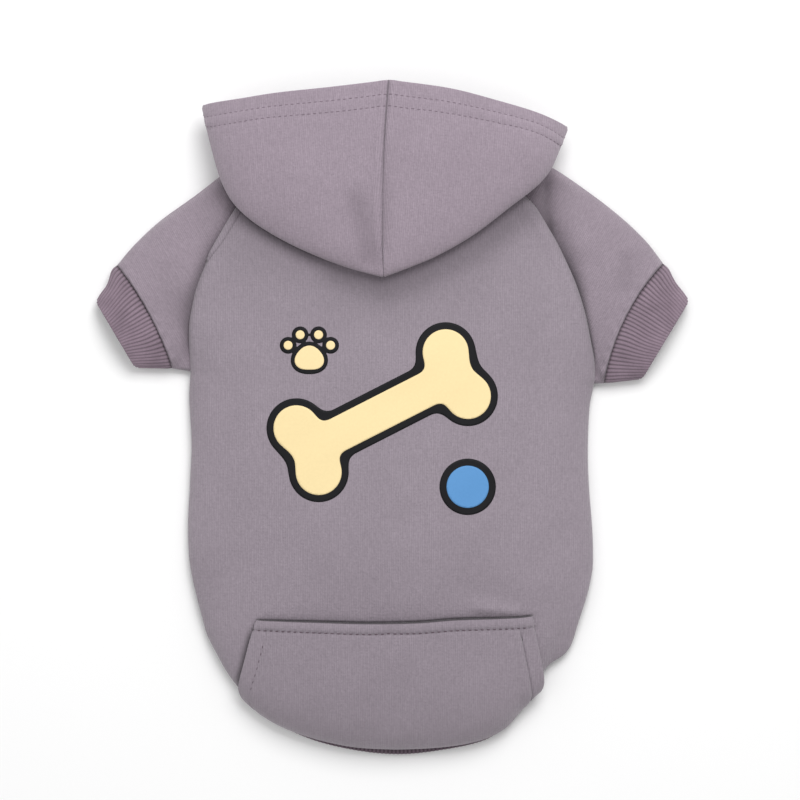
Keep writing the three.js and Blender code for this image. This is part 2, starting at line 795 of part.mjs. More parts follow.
// Splits each step round a ring into shorter ones, and lifts every other new line into a rib
function ribbed(points, normals, stepsPer, depth, plainRows) {
  const steps = points[0].length - 1;
  const between = (line, c) => {
    const from = Math.floor(c / stepsPer) % steps;
    return line[from].clone().lerp(line[from + 1], (c % stepsPer) / stepsPer);
  };
  const fineNormals = makeGrid(points.length - 1, steps * stepsPer, (s, share, r, c) =>
    between(normals[r], c).normalize(),
  );
  const grid = makeGrid(points.length - 1, steps * stepsPer, (s, share, r, c) => {
    const lift = r < plainRows ? 0 : ((c % 2 === 0 ? 1 : -1) * depth) / 2;
    return between(points[r], c).addScaledVector(fineNormals[r][c], lift);
  });
  return { grid, normals: fineNormals };
}

// The waistband lies flat under the back's rounded hem and carries on from the belly panel's edge
function bandOutline() {
  const first = bellyRows;
  const ring = [];
  for (let c = 0; c < bellySteps; c += 1) ring.push({ point: bellyGrid[bellyRows][c], under: 0 });
  for (let r = first; r < backRows; r += 1) ring.push({ point: backGrid[r][backSteps], under: 1 });
  for (let c = backSteps; c > 0; c -= 1) ring.push({ point: backGrid[backRows][c], under: 1 });
  for (let r = backRows; r > first; r -= 1) ring.push({ point: backGrid[r][0], under: 1 });
  ring[0].under = 1;
  return ring;
}

function bandGrid() {
  const ring = bandOutline();
  const hemEnd = -(sideLength + hemSideLength + hemDrop);
  const middle = -sideLength - hemSideLength;
  const bellyShare = 1 - bandWidth / hemSideLength;
  const hemShare = 1 - bandWidth / hemDrop;
  const sideShare = 1 - bandWidth / chestHalfWidth;
  const ribHeight = (ribWall + bandRibDepth) / 2;
  const outerHeight = foldHeight - 3 * seamGap - ribHeight;
  const lines = ring.map(({ point, under }) => {
    const reach = clamp((point.y - middle) / (hemEnd - middle), 0, 1);
    const outer = new THREE.Vector3(point.x, point.y, under ? outerHeight : ribHeight);
    outer.y -= under ? bandPeek * ease(reach) ** 2 : seamGap;
    const share = point.y > middle ? bellyShare : hemShare;
    const inner = new THREE.Vector3(
      point.x * sideShare,
      middle + (point.y - middle) * share,
      ribHeight,
    );
    const settled = outer.clone().lerp(inner, bandSettling);
    settled.z = ribHeight;
    return [outer, settled, inner];
  });
  return makeGrid(2, ring.length, (s, c, row, column) => lines[column % ring.length][row].clone());
}

// The pocket follows the lower back at a distance, with a slack mouth along its top edge.
// Its lower left corner is rounded off and its lower right one stands out beyond the back's edge.
function pocketPoint(h, g) {
  const rounded = pocketCornerTurn * h ** pocketCornerRoundness;
  const left = mix(pocketTop.left, pocketFoot.left, h ** pocketSideBend) - rounded;
  const right = mix(pocketTop.right, pocketFoot.right, h);
  const turn = mix(left, right, g) * halfTurn;
  const middle = Math.sin(halfTurn * g);
  const start = Math.asin(pocketTop.depth - pocketTop.rise * middle);
  const w = Math.sin(mix(start, halfTurn / 2, h));
  const small = 1e-3;
  const point = hemPoint(turn, w);
  const across = hemPoint(turn - small, w).sub(hemPoint(turn + small, w));
  const down = hemPoint(turn, w).sub(hemPoint(turn, w - small));
  const away = down.cross(across).normalize();
  const hang = Math.max(0, 1 - h / pocketSlackLength) ** pocketSlackFall;
  const slack = pocketBulge * middle ** pocketSlackWidth * hang;
  point.addScaledVector(away, fabricWall + pocketGap + slack);
  const corner = ease(clamp((g - pocketFlareStart) / (1 - pocketFlareStart), 0, 1));
  point.x += pocketFlareOut * Math.sin(halfTurn * h) * corner;
  point.y -= pocketFlareDown * h * h * corner;
  return point;
}

const clothColors = {
  body: "#998e99",
  hood: "#a294a0",
  sleeve: "#9b8e99",
  cuff: "#857581",
  pocket: "#90868f",
};

function clothMesh(name, geometry, color) {
  const material = new THREE.MeshStandardMaterial({ color, roughness: 0.95, metalness: 0 });
  const mesh = new THREE.Mesh(geometry, material);
  mesh.name = name;
  return mesh;
}

function sewnMesh(name, color) {
  const piece = sewn[name];
  return clothMesh(
    name,
    clothSolid(piece.moved, piece.normals, fabricWall, piece.out, piece.closed),
    color,
  );
}

function cuffMesh(name) {
  const piece = sewn[name];
  const fine = ribbed(piece.moved, piece.normals, ribsPerCuffStep, cuffRibDepth, 1);
  return clothMesh(name, clothSolid(fine.grid, fine.normals, ribWall, piece.out, true), clothColors.cuff);
}

const garment = new THREE.Group();
garment.add(sewnMesh("back_panel", clothColors.body));
garment.add(sewnMesh("belly_panel", clothColors.body));
garment.add(sewnMesh("sleeve_left", clothColors.sleeve));
garment.add(sewnMesh("sleeve_right", clothColors.sleeve));
garment.add(cuffMesh("cuff_left"));
garment.add(cuffMesh("cuff_right"));
const band = bandGrid();
const bandFine = ribbed(band, gridNormals(band, 1, true), bandStepsPerPanelStep, bandRibDepth, 0);
garment.add(
  clothMesh(
    "waistband",
    clothSolid(bandFine.grid, bandFine.normals, ribWall, 1, true),
    clothColors.cuff,
  ),
);
const pocketGrid = makeGrid(pocketRows, pocketColumns, pocketPoint);
garment.add(
  clothMesh(
    "pocket",
    clothSolid(pocketGrid, gridNormals(pocketGrid, 1, false), fabricWall, 1, false),
    clothColors.pocket,
  ),
);
garment.add(sewnMesh("hood_left", clothColors.hood));
garment.add(sewnMesh("hood_right", clothColors.hood));

// The origin is on the floor, below the middle of the whole garment
const bounds = new THREE.Box3().setFromObject(garment);
garment.position.set(
  -(bounds.min.x + bounds.max.x) / 2,
  -(bounds.min.y + bounds.max.y) / 2,
  -bounds.min.z,
);

const root = new THREE.Group();
root.add(garment);
export default root;
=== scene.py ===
"""A dog hoodie of size M laid flat with its back up: its cloth, ribs, seams, stitches and print.

Shapes are worked out in millimetres, with y = 0 at the underarm, and put into the frame in metres."""
import bpy
import numpy as np
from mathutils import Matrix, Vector


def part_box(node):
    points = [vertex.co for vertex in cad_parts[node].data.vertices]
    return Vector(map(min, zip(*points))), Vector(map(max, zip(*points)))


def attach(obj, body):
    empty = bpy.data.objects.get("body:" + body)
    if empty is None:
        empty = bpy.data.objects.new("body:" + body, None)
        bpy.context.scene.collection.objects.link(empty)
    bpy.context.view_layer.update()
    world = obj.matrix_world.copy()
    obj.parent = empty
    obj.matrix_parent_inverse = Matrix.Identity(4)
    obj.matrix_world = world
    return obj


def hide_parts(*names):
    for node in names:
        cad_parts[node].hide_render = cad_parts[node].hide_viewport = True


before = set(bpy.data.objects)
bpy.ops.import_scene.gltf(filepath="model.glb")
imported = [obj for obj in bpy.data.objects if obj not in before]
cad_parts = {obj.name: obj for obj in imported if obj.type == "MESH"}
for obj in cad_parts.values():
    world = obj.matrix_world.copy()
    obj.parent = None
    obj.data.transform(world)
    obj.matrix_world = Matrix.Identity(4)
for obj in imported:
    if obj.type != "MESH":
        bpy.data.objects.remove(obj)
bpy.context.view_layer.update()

MM = 0.001

# Cloth: thicknesses, gaps and rounding in millimetres
WALL = 2.0
RIB_WALL = 2.2
SEAM_GAP = 0.36
LAYER_GAP = 0.9
EDGE_CLEARANCE = 3.0
EDGE_ROUNDING = 0.5
EDGE_INSET = 0.45

# Body
CHEST = 111.0
NECK = 66.0
NECK_SHIFT = -6.0
YOKE = 115.0
FRONT_YOKE = 128.0
NECK_DIP = 9.0
FRONT_NECK_RISE = 3.0
SIDE = 107.0
HEM_SIDE = 32.0
HEM_DROP = 63.0
UNDERARM_TILT = 3.3
BODY_LOFT = 23.0
FOLD_HEIGHT = 4.2
NECK_CORNER_HEIGHT = 14.5
SIDE_WRAP = 0.6

# Powers that bend the body's section and its lower end, and how soon the underside lies flat
YOKE_RISE_BEND = 0.75
BACK_BEND = 0.83
BACK_CROSS_BEND = 2.4
UNDER_BEND = 0.4
UNDER_SPREAD = 1.04
FRONT_YOKE_BEND = 0.7
HEM_FALL = 3.4
HEM_SIDE_GRIP = 8

# Sleeves and cuffs
SLEEVE_REACH = 41.0
SLEEVE_WIDTH = 63.0
SLEEVE_LOFT = 14.0
SHOULDER_HEIGHT = 8.0
SHOULDER_PUSH = (0.6, 0.8)
SLEEVE_SETTLE = 2.2
RING_SPREAD = 1.3
NECK_SIDE_WIDTH = 8.0
CUFF_LENGTH = 21.0
CUFF_WIDTH = 45.0
CUFF_LOFT = 12.0
RIB_PITCH = 2.0
RIB_DEPTH = 1.0

# Waistband
BAND_WIDTH = 21.0
BAND_PEEK = 5.4

# Hood
HOOD_HALF_WIDTH = 105.0
HOOD_LENGTH = 108.0
HOOD_TIP_Y = 55.0
HOOD_LOFT = 38.0
HOOD_CROWN = 2.0
HOOD_SEAM_BOW = 1.8
THROAT = 11.0
TURN_STEP = 1.8
TURN_ANGLE = np.pi / 3
SHOULDER_TURN_ANGLE = 0.35
HEADING_SIDEWAYS = 0.8
HOOD_SETTLE = 1.6
HOOD_ROLL = 2.5
THROAT_DROP = 0.7
FOLD_ALONG, FOLD_RISE = 0.985, 0.45
FOLD_STATION = 9
LAST_STATION = 18

# Pocket
POCKET_BULGE = 6.5
POCKET_GAP = 0.75
POCKET_FLARE_OUT = 5.0
POCKET_FLARE_DOWN = 4.0
POCKET_FLARE_START = 0.88
POCKET_SIDE_BEND = 0.8
POCKET_CORNER_TURN = 0.065
POCKET_CORNER_ROUNDNESS = 5.0
POCKET_SLACK_BEND = 0.7
POCKET_SLACK_END = 0.87
POCKET_SLACK_FADE = 1.3
POCKET_RISE_END = 0.4

HALVES = (("left", -1), ("right", 1))

# Steps of the pattern pieces: rows of the yoke, side and hem, and stations round the neck
YOKE_ROWS, SIDE_ROWS, HEM_ROWS = 8, 8, 6
BACK_ROWS = YOKE_ROWS + SIDE_ROWS + HEM_ROWS
NECK_STATIONS = 4
RING = 2 * YOKE_ROWS + NECK_STATIONS
SHOULDER = YOKE_ROWS + NECK_STATIONS / 2
BACK_STATIONS, BELLY_STATIONS = 10, 5
HOOD_STATIONS = BACK_STATIONS + NECK_STATIONS + BELLY_STATIONS
HOOD_CORNER = BACK_STATIONS + NECK_STATIONS - 1

FLOOR_LEVEL = WALL / 2
CUFF_FLOOR = RIB_WALL / 2 + 0.225


def table(names, *rows):
    """A short table as named columns."""
    return {name: np.array(column, float) for name, column in zip(names.split(), zip(*rows))}


RAGLAN = table(
    "up left right",
    (0, 1, 0.986), (0.12, 1.008, 0.976), (0.24, 1.006, 0.922), (0.345, 0.956, 0.863),
    (0.433, 0.885, 0.794), (0.58, 0.708, 0.649), (0.69, 0.526, 0.514), (0.8, 0.333, 0.353),
    (0.9, 0.145, 0.14), (1, 0, 0),
)
SIDES = table(
    "down left right",
    (0, 1, 0.994), (0.13, 1.008, 0.971), (0.37, 0.996, 0.962), (0.56, 1.004, 0.967), (0.77, 1.014, 0.983),
    (0.91, 1.01, 0.988), (1, 1, 0.985), (1.12, 0.976, 0.962), (1.3, 0.93, 0.905),
)
HEM = table(
    "turn reach",
    (0, 1), (0.07, 0.97), (0.115, 0.911), (0.18, 0.913), (0.225, 0.953), (0.265, 0.99), (0.305, 1.036),
    (0.345, 1.053), (0.43, 1.026), (0.51, 1.012), (0.63, 1.012), (0.73, 0.995), (0.8, 0.975), (0.87, 0.962),
    (0.93, 0.964), (1, 1),
)
FRONT_RAGLAN = table("up edge", (0, 1), (0.25, 0.93), (0.5, 0.68), (0.75, 0.33), (1, 0))
LOFT = table("place height", (-1.3, 0.96), (-1, 0.97), (-0.5, 1), (0, 1), (0.6, 0.98), (1, 0.93))
SHOULDERS = table(
    "along left right",
    (0, 0, 0), (0.2, 0, 0.05), (0.4, 0.012, 0.066), (0.65, 0.034, 0.065), (0.85, 0.025, 0.042), (1, 0, 0),
)
SLEEVES = {
    "left": dict(low_out=0.27, low_up=0.03, high_out=1.0, high_up=0.91, bow=0.048),
    "right": dict(low_out=0.15, low_up=0.005, high_out=0.935, high_up=1.03, bow=0.085),
}
CUFFS = {
    "left": dict(low_out=1.0, low_up=0.01, high_out=0.56, high_up=-0.45),
    "right": dict(low_out=1.03, low_up=0.055, high_out=0.69, high_up=-0.46),
}
HOOD_OUTLINE = {
    "left": table(
        "step out up height",
        (0, 0.05, 0, 0.765), (0.15, 0.21, 0.03, 0.76), (0.3, 0.4, 0.09, 0.74), (0.45, 0.62, 0.195, 0.7),
        (0.6, 0.8, 0.33, 0.64), (0.75, 0.895, 0.49, 0.58), (0.9, 0.966, 0.74, 0.49), (1, 0.995, 0.865, 0.4),
    ),
    "right": table(
        "step out up height",
        (0, -0.05, 0, 0.765), (0.15, 0.2, 0.075, 0.76), (0.3, 0.42, 0.18, 0.74), (0.45, 0.6, 0.31, 0.7),
        (0.6, 0.745, 0.43, 0.64), (0.75, 0.82, 0.53, 0.58), (0.9, 0.865, 0.64, 0.49), (1, 0.91, 0.755, 0.4),
    ),
}
HOOD_FACE = {
    "left": table(
        "step out up height",
        (0, 0.022, 0.988, 1), (0.3, 0.32, 0.952, 0.99), (0.6, 0.63, 0.921, 0.92), (0.8, 0.84, 0.891, 0.76),
        (0.92, 0.95, 0.875, 0.58), (1, 0.995, 0.865, 0.4),
    ),
    "right": table(
        "step out up height",
        (0, -0.022, 0.988, 1), (0.3, 0.3, 0.944, 0.99), (0.6, 0.57, 0.876, 0.92), (0.8, 0.75, 0.825, 0.76),
        (0.92, 0.86, 0.78, 0.58), (1, 0.91, 0.755, 0.4),
    ),
}
# How much higher up the body the cloth's fold lies than the plain outline, as a share of the hood's length
FOLD_TUCK = table(
    "step left right",
    (0, 0, 0), (0.15, 0.01, 0.02), (0.3, 0.018, 0.036), (0.45, 0.018, 0.04), (0.6, 0.012, 0.03),
    (0.75, 0.004, 0.018), (1, 0, 0),
)
HOOD_LOWER = table("turned open", (0.12, 0.32), (0.38, 0.5), (0.66, 0.68), (0.9, 0.86))
HOOD_UPPER = table(
    "station share",
    (0, 0), (1, 0.012), (2, 0.07), (3, 0.16), (4, 0.29), (5, 0.43), (6, 0.58), (7, 0.73), (8, 0.87), (9, 1),
)
# How far the slack mouth of the pocket rides up, in millimetres
POCKET_RISE = table(
    "across up", (0, 0.5), (0.1, 1.1), (0.25, 1), (0.42, 0.1), (0.55, 0.6), (0.68, 2.5), (0.85, 3.2), (1, 2),
)
POCKET = dict(top_left=0.722, top_right=0.262, foot_left=0.848, foot_right=0.17, depth=0.345, rise=0.05)


def mix(a, b, t):
    """Straight from a to b as t goes from 0 to 1."""
    return a + (b - a) * t


def ease(t):
    """Rises smoothly from 0 to 1 with flat ends: three times the square less twice the cube."""
    t = np.clip(t, 0, 1)
    return t * t * (3 - 2 * t)


def signed_power(value, power):
    """A power of the size of a number, with its sign kept."""
    return np.sign(value) * np.abs(value) ** power


def unit(vectors):
    """Vectors divided by their lengths."""
    return vectors / np.maximum(np.linalg.norm(vectors, axis=-1, keepdims=True), 1e-9)


def point(x, y, z):
    """Joins coordinates of any shapes that fit together into points."""
    return np.stack(np.broadcast_arrays(x, y, z), axis=-1).astype(float)


def along(knots, values, places):
    """A smooth curve through values at knots, by cubics.

    Its slope at each knot is that of the line from the knot before to the knot after."""
    knots, values = np.asarray(knots, float), np.asarray(values, float)
    places = np.asarray(places, float)
    order = np.arange(len(knots))
    before, after = np.maximum(order - 1, 0), np.minimum(order + 1, len(knots) - 1)
    spread = (knots[after] - knots[before]).reshape((-1,) + (1,) * (values.ndim - 1))
    slope = (values[after] - values[before]) / spread
    i = np.clip(np.searchsorted(knots, places, side="left") - 1, 0, len(knots) - 2)
    width = knots[i + 1] - knots[i]
    t = np.clip((places - knots[i]) / width, 0, 1)
    shape = t.shape + (1,) * (values.ndim - 1)
    t, width = t.reshape(shape), width.reshape(shape)
    t2, t3 = t * t, t * t * t
    return (
        values[i] * (2 * t3 - 3 * t2 + 1)
        + slope[i] * width * (t3 - 2 * t2 + t)
        + values[i + 1] * (3 * t2 - 2 * t3)
        + slope[i + 1] * width * (t3 - t2)
    )


def read(columns, key, name, places):
    """A smooth curve through two columns of a table."""
    return along(columns[key], columns[name], places)


def body_edges(y):
    """The body's left and right edge at a level: the raglan seams above the underarm, the sides below it."""
    up, down = np.clip(y / YOKE, 0, 1), np.clip(-y / SIDE, 0, 1.3)
    left_yoke = -mix(NECK - NECK_SHIFT, CHEST, read(RAGLAN, "up", "left", up))
    right_yoke = mix(NECK + NECK_SHIFT, CHEST, read(RAGLAN, "up", "right", up))
    left = np.where(y > 0, left_yoke, -CHEST * read(SIDES, "down", "left", down))
    right = np.where(y > 0, right_yoke, CHEST * read(SIDES, "down", "right", down))
    return left, right


def body_levels(y):
    """Heights of the back's middle line and of its edges at a level."""
    place = np.where(y > 0, y / YOKE, y / SIDE)
    rise = np.sin(np.pi / 2 * np.clip(y / YOKE, 0, 1)) ** YOKE_RISE_BEND
    return BODY_LOFT * read(LOFT, "place", "height", place), mix(FOLD_HEIGHT, NECK_CORNER_HEIGHT, rise)


def back_section(angle, y):
    """A flattened ellipse round the body: half a turn over the back, and a flatter half turn under it."""
    left, right = body_edges(y)
    top, edge = body_levels(y)
    rise = np.sin(angle)
    across = signed_power(np.cos(angle), np.where(rise >= 0, BACK_BEND, UNDER_BEND))
    drop = np.minimum(1, UNDER_SPREAD * np.abs(rise) ** UNDER_BEND)
    height = np.where(rise >= 0, mix(edge, top, rise), mix(edge, FLOOR_LEVEL, drop))
    return point(mix(left, right, (across + 1) / 2), y, height)


def side_wrap(y):
    """How far the back reaches round under the side, most half way down it."""
    return SIDE_WRAP * np.sin(np.pi * np.clip(-y / SIDE, 0, 1)) ** 2


def tilted(y, across):
    """Rows near the underarm run slightly downhill to the right."""
    reach = np.where(y > 0, 1 - y / YOKE, 1 + y / SIDE)
    return y - UNDERARM_TILT * across * ease(reach)


def hem_point(angle, w):
    """The rounded lower end: an ellipse whose reach follows the hem's table.

    w runs from 0 at the side rows to 1 at the edge."""
    level = np.asarray(-SIDE, float)
    start = back_section(angle, level)
    end_left, end_right = body_edges(np.asarray(-SIDE - HEM_SIDE, float))
    reach = read(HEM, "turn", "reach", angle / np.pi)
    across = (np.cos(angle) + 1) / 2
    x = mix(end_left, end_right, (np.cos(angle) * reach + 1) / 2)
    side_left, side_right = body_edges(-SIDE - HEM_SIDE * w)
    low_left, low_right = body_edges(level)
    side_shift = mix(side_left, side_right, across) - mix(low_left, low_right, across)
    near_side = np.abs(np.cos(angle)) ** HEM_SIDE_GRIP
    blended = mix(start[..., 0], x, w)
    fall = np.sqrt(np.maximum(0, 1 - w ** HEM_FALL))
    return point(
        mix(blended, start[..., 0] + side_shift, near_side * (1 - w)),
        -SIDE - w * (HEM_SIDE + HEM_DROP * np.sin(angle) * reach),
        mix(FOLD_HEIGHT, start[..., 2], fall),
    )


def side_rows(row, share, start):
    """The back or the belly between its side folds, from the half turn where its section starts."""
    y = -SIDE * np.clip((row - YOKE_ROWS) / SIDE_ROWS, 0, 1)
    wrap = side_wrap(y)
    angle = mix(start + wrap, -wrap, share)
    side = back_section(angle, y)
    side[..., 1] = tilted(y, np.cos(angle))
    return side


def back_point(row, share):
    """The back: row 0 is the neck, 8 the underarm, 16 the level of the belly's hem and 22 the edge."""
    row, share = np.broadcast_arrays(np.asarray(row, float), np.asarray(share, float))
    turn = np.pi * (1 - share)
    y = YOKE * np.clip(1 - row / YOKE_ROWS, 0, 1)
    yoke_y = y - NECK_DIP * (y / YOKE) ** 2 * np.sin(turn) ** 2
    yoke = back_section(turn, yoke_y)
    yoke[..., 1] = tilted(yoke_y, np.cos(turn))
    side = side_rows(row, share, np.pi)
    w = np.sin(np.pi / 2 * np.clip((row - YOKE_ROWS - SIDE_ROWS) / HEM_ROWS, 0, 1))
    hem = hem_point(turn, w)
    row = row[..., None]
    return np.where(row <= YOKE_ROWS, yoke, np.where(row <= YOKE_ROWS + SIDE_ROWS, side, hem))


def belly_point(row, share):
    """The flat underside from the neck, row 0, to the belly hem, row 16, rising to the side folds."""
    row, share = np.broadcast_arrays(np.asarray(row, float), np.asarray(share, float))
    side = side_rows(row, share, -np.pi)
    rise = np.clip(1 - row / YOKE_ROWS, 0, 1)
    edge = read(FRONT_RAGLAN, "up", "edge", rise)
    chest_left, chest_right = body_edges(np.zeros(()))
    left = mix(-(NECK - NECK_SHIFT), chest_left, edge)
    right = mix(NECK + NECK_SHIFT, chest_right, edge)
    across = -np.cos(np.pi * share)
    lift = mix(FOLD_HEIGHT, FLOOR_LEVEL, ease(rise * YOKE_ROWS))
    drop = np.minimum(1, UNDER_SPREAD * np.abs(np.sin(np.pi * share)) ** UNDER_BEND)
    level = FRONT_YOKE * rise + FRONT_NECK_RISE * rise * (1 - across ** 2)
    yoke = point(
        mix(left, right, (signed_power(across, FRONT_YOKE_BEND) + 1) / 2),
        level - UNDERARM_TILT * across * ease(1 - rise),
        mix(lift, FLOOR_LEVEL, drop),
    )
    return np.where((row >= YOKE_ROWS)[..., None], side, yoke)


def neck_side(sign, t):
    """The neckline of a sleeve: a parabola from the back's corner over the shoulder to the belly's corner."""
    share = 0 if sign < 0 else 1
    back, front = back_point(0, share), belly_point(0, share)
    middle = (back + front) / 2
    middle = np.array([middle[0] + sign * NECK_SIDE_WIDTH, middle[1], SHOULDER_HEIGHT])
    control = 2 * middle - back / 2 - front / 2
    t = np.asarray(t, float)[..., None]
    return (1 - t) ** 2 * back + 2 * t * (1 - t) * control + t * t * front


def armhole(sign, k):
    """The ring of the armhole: up the back seam to 8, along the neck to 12, down the front seam to 20."""
    share = 0 if sign < 0 else 1
    k = np.asarray(k, float)
    neck_end = YOKE_ROWS + NECK_STATIONS
    back = back_point(np.clip(YOKE_ROWS - k, 0, YOKE_ROWS), share)
    neck = neck_side(sign, np.clip((k - YOKE_ROWS) / NECK_STATIONS, 0, 1))
    front = belly_point(np.clip(k - neck_end, 0, YOKE_ROWS), share)
    k = k[..., None]
    return np.where(k < YOKE_ROWS, back, np.where(k <= neck_end, neck, front))


def ring_share(k):
    """From 0 at the underarm to 1 at the shoulder fold, on both sides of a ring."""
    return np.where(k <= SHOULDER, k / SHOULDER, (RING - k) / (RING - SHOULDER))


def flat_ring(low, high, bow, loft, underside, k):
    """A flattened ring lying on the floor between its low and its high end, bowed in plan by a parabola."""
    reach = high - low
    inward = unit(np.array([reach[1], -reach[0], 0.0]))
    share = ring_share(k)
    across = (1 - np.cos(np.pi * share)) / 2
    rise = np.sin(np.pi * share)
    ring = low + across[..., None] * reach + (bow * 4 * across * (1 - across))[..., None] * inward
    top = mix(FOLD_HEIGHT, loft, rise)
    bottom = mix(FOLD_HEIGHT, underside, np.minimum(1, RING_SPREAD * rise))
    ring[..., 2] = np.where(k <= SHOULDER, top, bottom)
    return ring


def seam_ends(side, sign):
    """The cuff seam's ends at the low and the high edge of a sleeve, and how far it bows."""
    shape = SLEEVES[side]
    underarm = armhole(sign, 0.0)
    start = np.array([underarm[0], underarm[1], 0.0])
    low = start + [sign * SLEEVE_REACH * shape["low_out"], SLEEVE_WIDTH * shape["low_up"], 0]
    high = start + [sign * SLEEVE_REACH * shape["high_out"], SLEEVE_WIDTH * shape["high_up"], 0]
    return low, high, -sign * SLEEVE_WIDTH * shape["bow"]


def sleeve_point(side, sign, s, k):
    """Straight lines from the armhole to the cuff seam, with the shoulder fold pushed out by its table."""
    start = armhole(sign, k)
    low, high, bow = seam_ends(side, sign)
    end = flat_ring(low, high, bow, SLEEVE_LOFT, CUFF_FLOOR, k)
    shoulder_end = flat_ring(low, high, bow, SLEEVE_LOFT, CUFF_FLOOR, np.asarray(SHOULDER))
    reach = np.linalg.norm(armhole(sign, SHOULDER) - shoulder_end)
    grid = mix(start, end, s[..., None])
    near_shoulder = ((1 - np.cos(np.pi * ring_share(k))) / 2) ** 2
    lift = reach * near_shoulder * read(SHOULDERS, "along", side, s)
    grid[..., 0] += sign * lift * SHOULDER_PUSH[0]
    grid[..., 1] += lift * SHOULDER_PUSH[1]
    grid[..., 2] = mix(start[..., 2], end[..., 2], ease(s * SLEEVE_SETTLE))
    return grid


def cuff_point(side, sign, s, k):
    """Straight lines from the cuff seam to the free edge."""
    shape = CUFFS[side]
    low, high, bow = seam_ends(side, sign)
    low_end = low + [sign * CUFF_LENGTH * shape["low_out"], CUFF_WIDTH * shape["low_up"], 0]
    high_end = high + [sign * CUFF_LENGTH * shape["high_out"], CUFF_WIDTH * shape["high_up"], 0]
    seam = flat_ring(low, high, bow, SLEEVE_LOFT, CUFF_FLOOR, k)
    edge = flat_ring(low_end, high_end, 0, CUFF_LOFT, CUFF_FLOOR, k)
    return mix(seam, edge, s[..., None])


def back_height(x, y):
    """The back's height over a place, and the seam's own height beyond its edges."""
    level = np.clip(y, -SIDE, YOKE)
    left, right = body_edges(level)
    top, edge = body_levels(level)
    across = np.clip(2 * (x - left) / (right - left) - 1, -1, 1)
    return mix(edge, top, np.sqrt(1 - np.abs(across) ** BACK_CROSS_BEND))


def neckline(sign, index):
    """The neck's edge by stations: from the back's middle over the shoulder to the belly's middle."""
    if index <= BACK_STATIONS:
        return back_point(0, 0.5 + sign * index / (2 * BACK_STATIONS))
    if index <= BACK_STATIONS + NECK_STATIONS:
        return neck_side(sign, (index - BACK_STATIONS) / NECK_STATIONS)
    share = (index - BACK_STATIONS - NECK_STATIONS) / (2 * BELLY_STATIONS)
    return belly_point(0, share if sign < 0 else 1 - share)


def hood_place(columns, sign, step):
    """A place on one of the hood's outlines."""
    out, rise, height = (read(columns, "step", name, step) for name in ("out", "up", "height"))
    return np.array([sign * HOOD_HALF_WIDTH * out, HOOD_TIP_Y + HOOD_LENGTH * rise, HOOD_LOFT * height])


def hood_fold(side, sign, step):
    """The edge along which the hood folds over."""
    place = hood_place(HOOD_OUTLINE[side], sign, step)
    return place + [0, HOOD_LENGTH * read(FOLD_TUCK, "step", side, step), 0]


def hood_heading(sign, index):
    """Which way the hood leaves the neckline: towards the head at the back, outwards at the shoulder."""
    shoulder, front = BACK_STATIONS + NECK_STATIONS / 2, BACK_STATIONS + NECK_STATIONS
    stations = [BACK_STATIONS - 3, shoulder, front, HOOD_STATIONS]
    sideways = HEADING_SIDEWAYS * float(np.interp(index, stations, [0, 1, 0.4, 0]))
    return np.array([sign * sideways, np.sqrt(1 - sideways ** 2), 0])


def throat_line(side, sign, index, neck, q):
    """Past the face corner the hood is one short layer, from the neck down to the throat."""
    face = hood_place(HOOD_FACE[side], sign, 1)
    share = (index - HOOD_CORNER) / (HOOD_STATIONS - HOOD_CORNER)
    throat = neckline(sign, HOOD_STATIONS) + [0, THROAT, 0]
    turn = np.sin(np.pi / 2 * share)
    edge = np.array([
        mix(face[0], throat[0], share),
        mix(face[1], throat[1], turn),
        mix(face[2], throat[2], turn ** THROAT_DROP),
    ])
    return mix(neck, edge, q[:, None] / q[-1])


def lower_layer(sign, neck, fold, heading, turned):
    """Places of the hood's under layer: a turn up out of the neck, then back over the body to the fold."""
    up = np.array([0, 0, 1.0])
    points = [neck]
    for step in range(3):
        angle = TURN_ANGLE * turned * (step + 0.5) + SHOULDER_TURN_ANGLE * (1 - turned)
        points.append(points[-1] + (heading * np.cos(angle) + up * np.sin(angle)) * TURN_STEP)
    turn_top = points[-1][2]
    layer = WALL + LAYER_GAP
    for lying, standing in zip(HOOD_LOWER["turned"], HOOD_LOWER["open"]):
        share = mix(standing, lying, turned)
        place = mix(neck, fold, share)
        rest = back_height(place[0] - sign * EDGE_CLEARANCE, place[1]) + layer
        place[2] = mix(mix(turn_top, fold[2] - layer, share), rest, min(1, HOOD_SETTLE * turned))
        points.append(place)
    turn_in = mix(neck, fold, FOLD_ALONG)
    turn_in[2] = mix(points[-1][2], fold[2], FOLD_RISE)
    return np.array(points + [turn_in, fold])


def hood_line(side, sign, index, q):
    """One line of the hood from the neck to the face edge, at stations q from 0 to 18.

    It turns up from the neck, lies back to the fold at station 9 and returns over itself to the face edge."""
    neck = neckline(sign, index)
    if index > HOOD_CORNER:
        return throat_line(side, sign, index, neck, q)
    face = hood_place(HOOD_FACE[side], sign, index / HOOD_CORNER)
    fold = hood_fold(side, sign, index / HOOD_CORNER)
    turned = float(1 - ease((index - BACK_STATIONS + 2) / 4))
    points = lower_layer(sign, neck, fold, hood_heading(sign, index), turned)
    lengths = np.r_[0, np.cumsum(np.linalg.norm(np.diff(points, axis=0), axis=1))]
    places = np.interp(np.minimum(q, FOLD_STATION), np.arange(len(points)), lengths)
    under = along(lengths, points, places)
    share = read(HOOD_UPPER, "station", "share", np.maximum(q - FOLD_STATION, 0))
    over = mix(fold, face, share[:, None])
    rise = np.sqrt(1 - (1 - share) ** HOOD_ROLL)
    over[:, 2] = mix(fold[2], face[2], rise) + HOOD_CROWN * np.sin(np.pi * share) * turned
    near_seam = ease(1 - index / BACK_STATIONS)
    over[:, 0] -= HOOD_SEAM_BOW * np.sin(np.pi * share) * near_seam
    return np.where((q <= FOLD_STATION)[:, None], under, over)


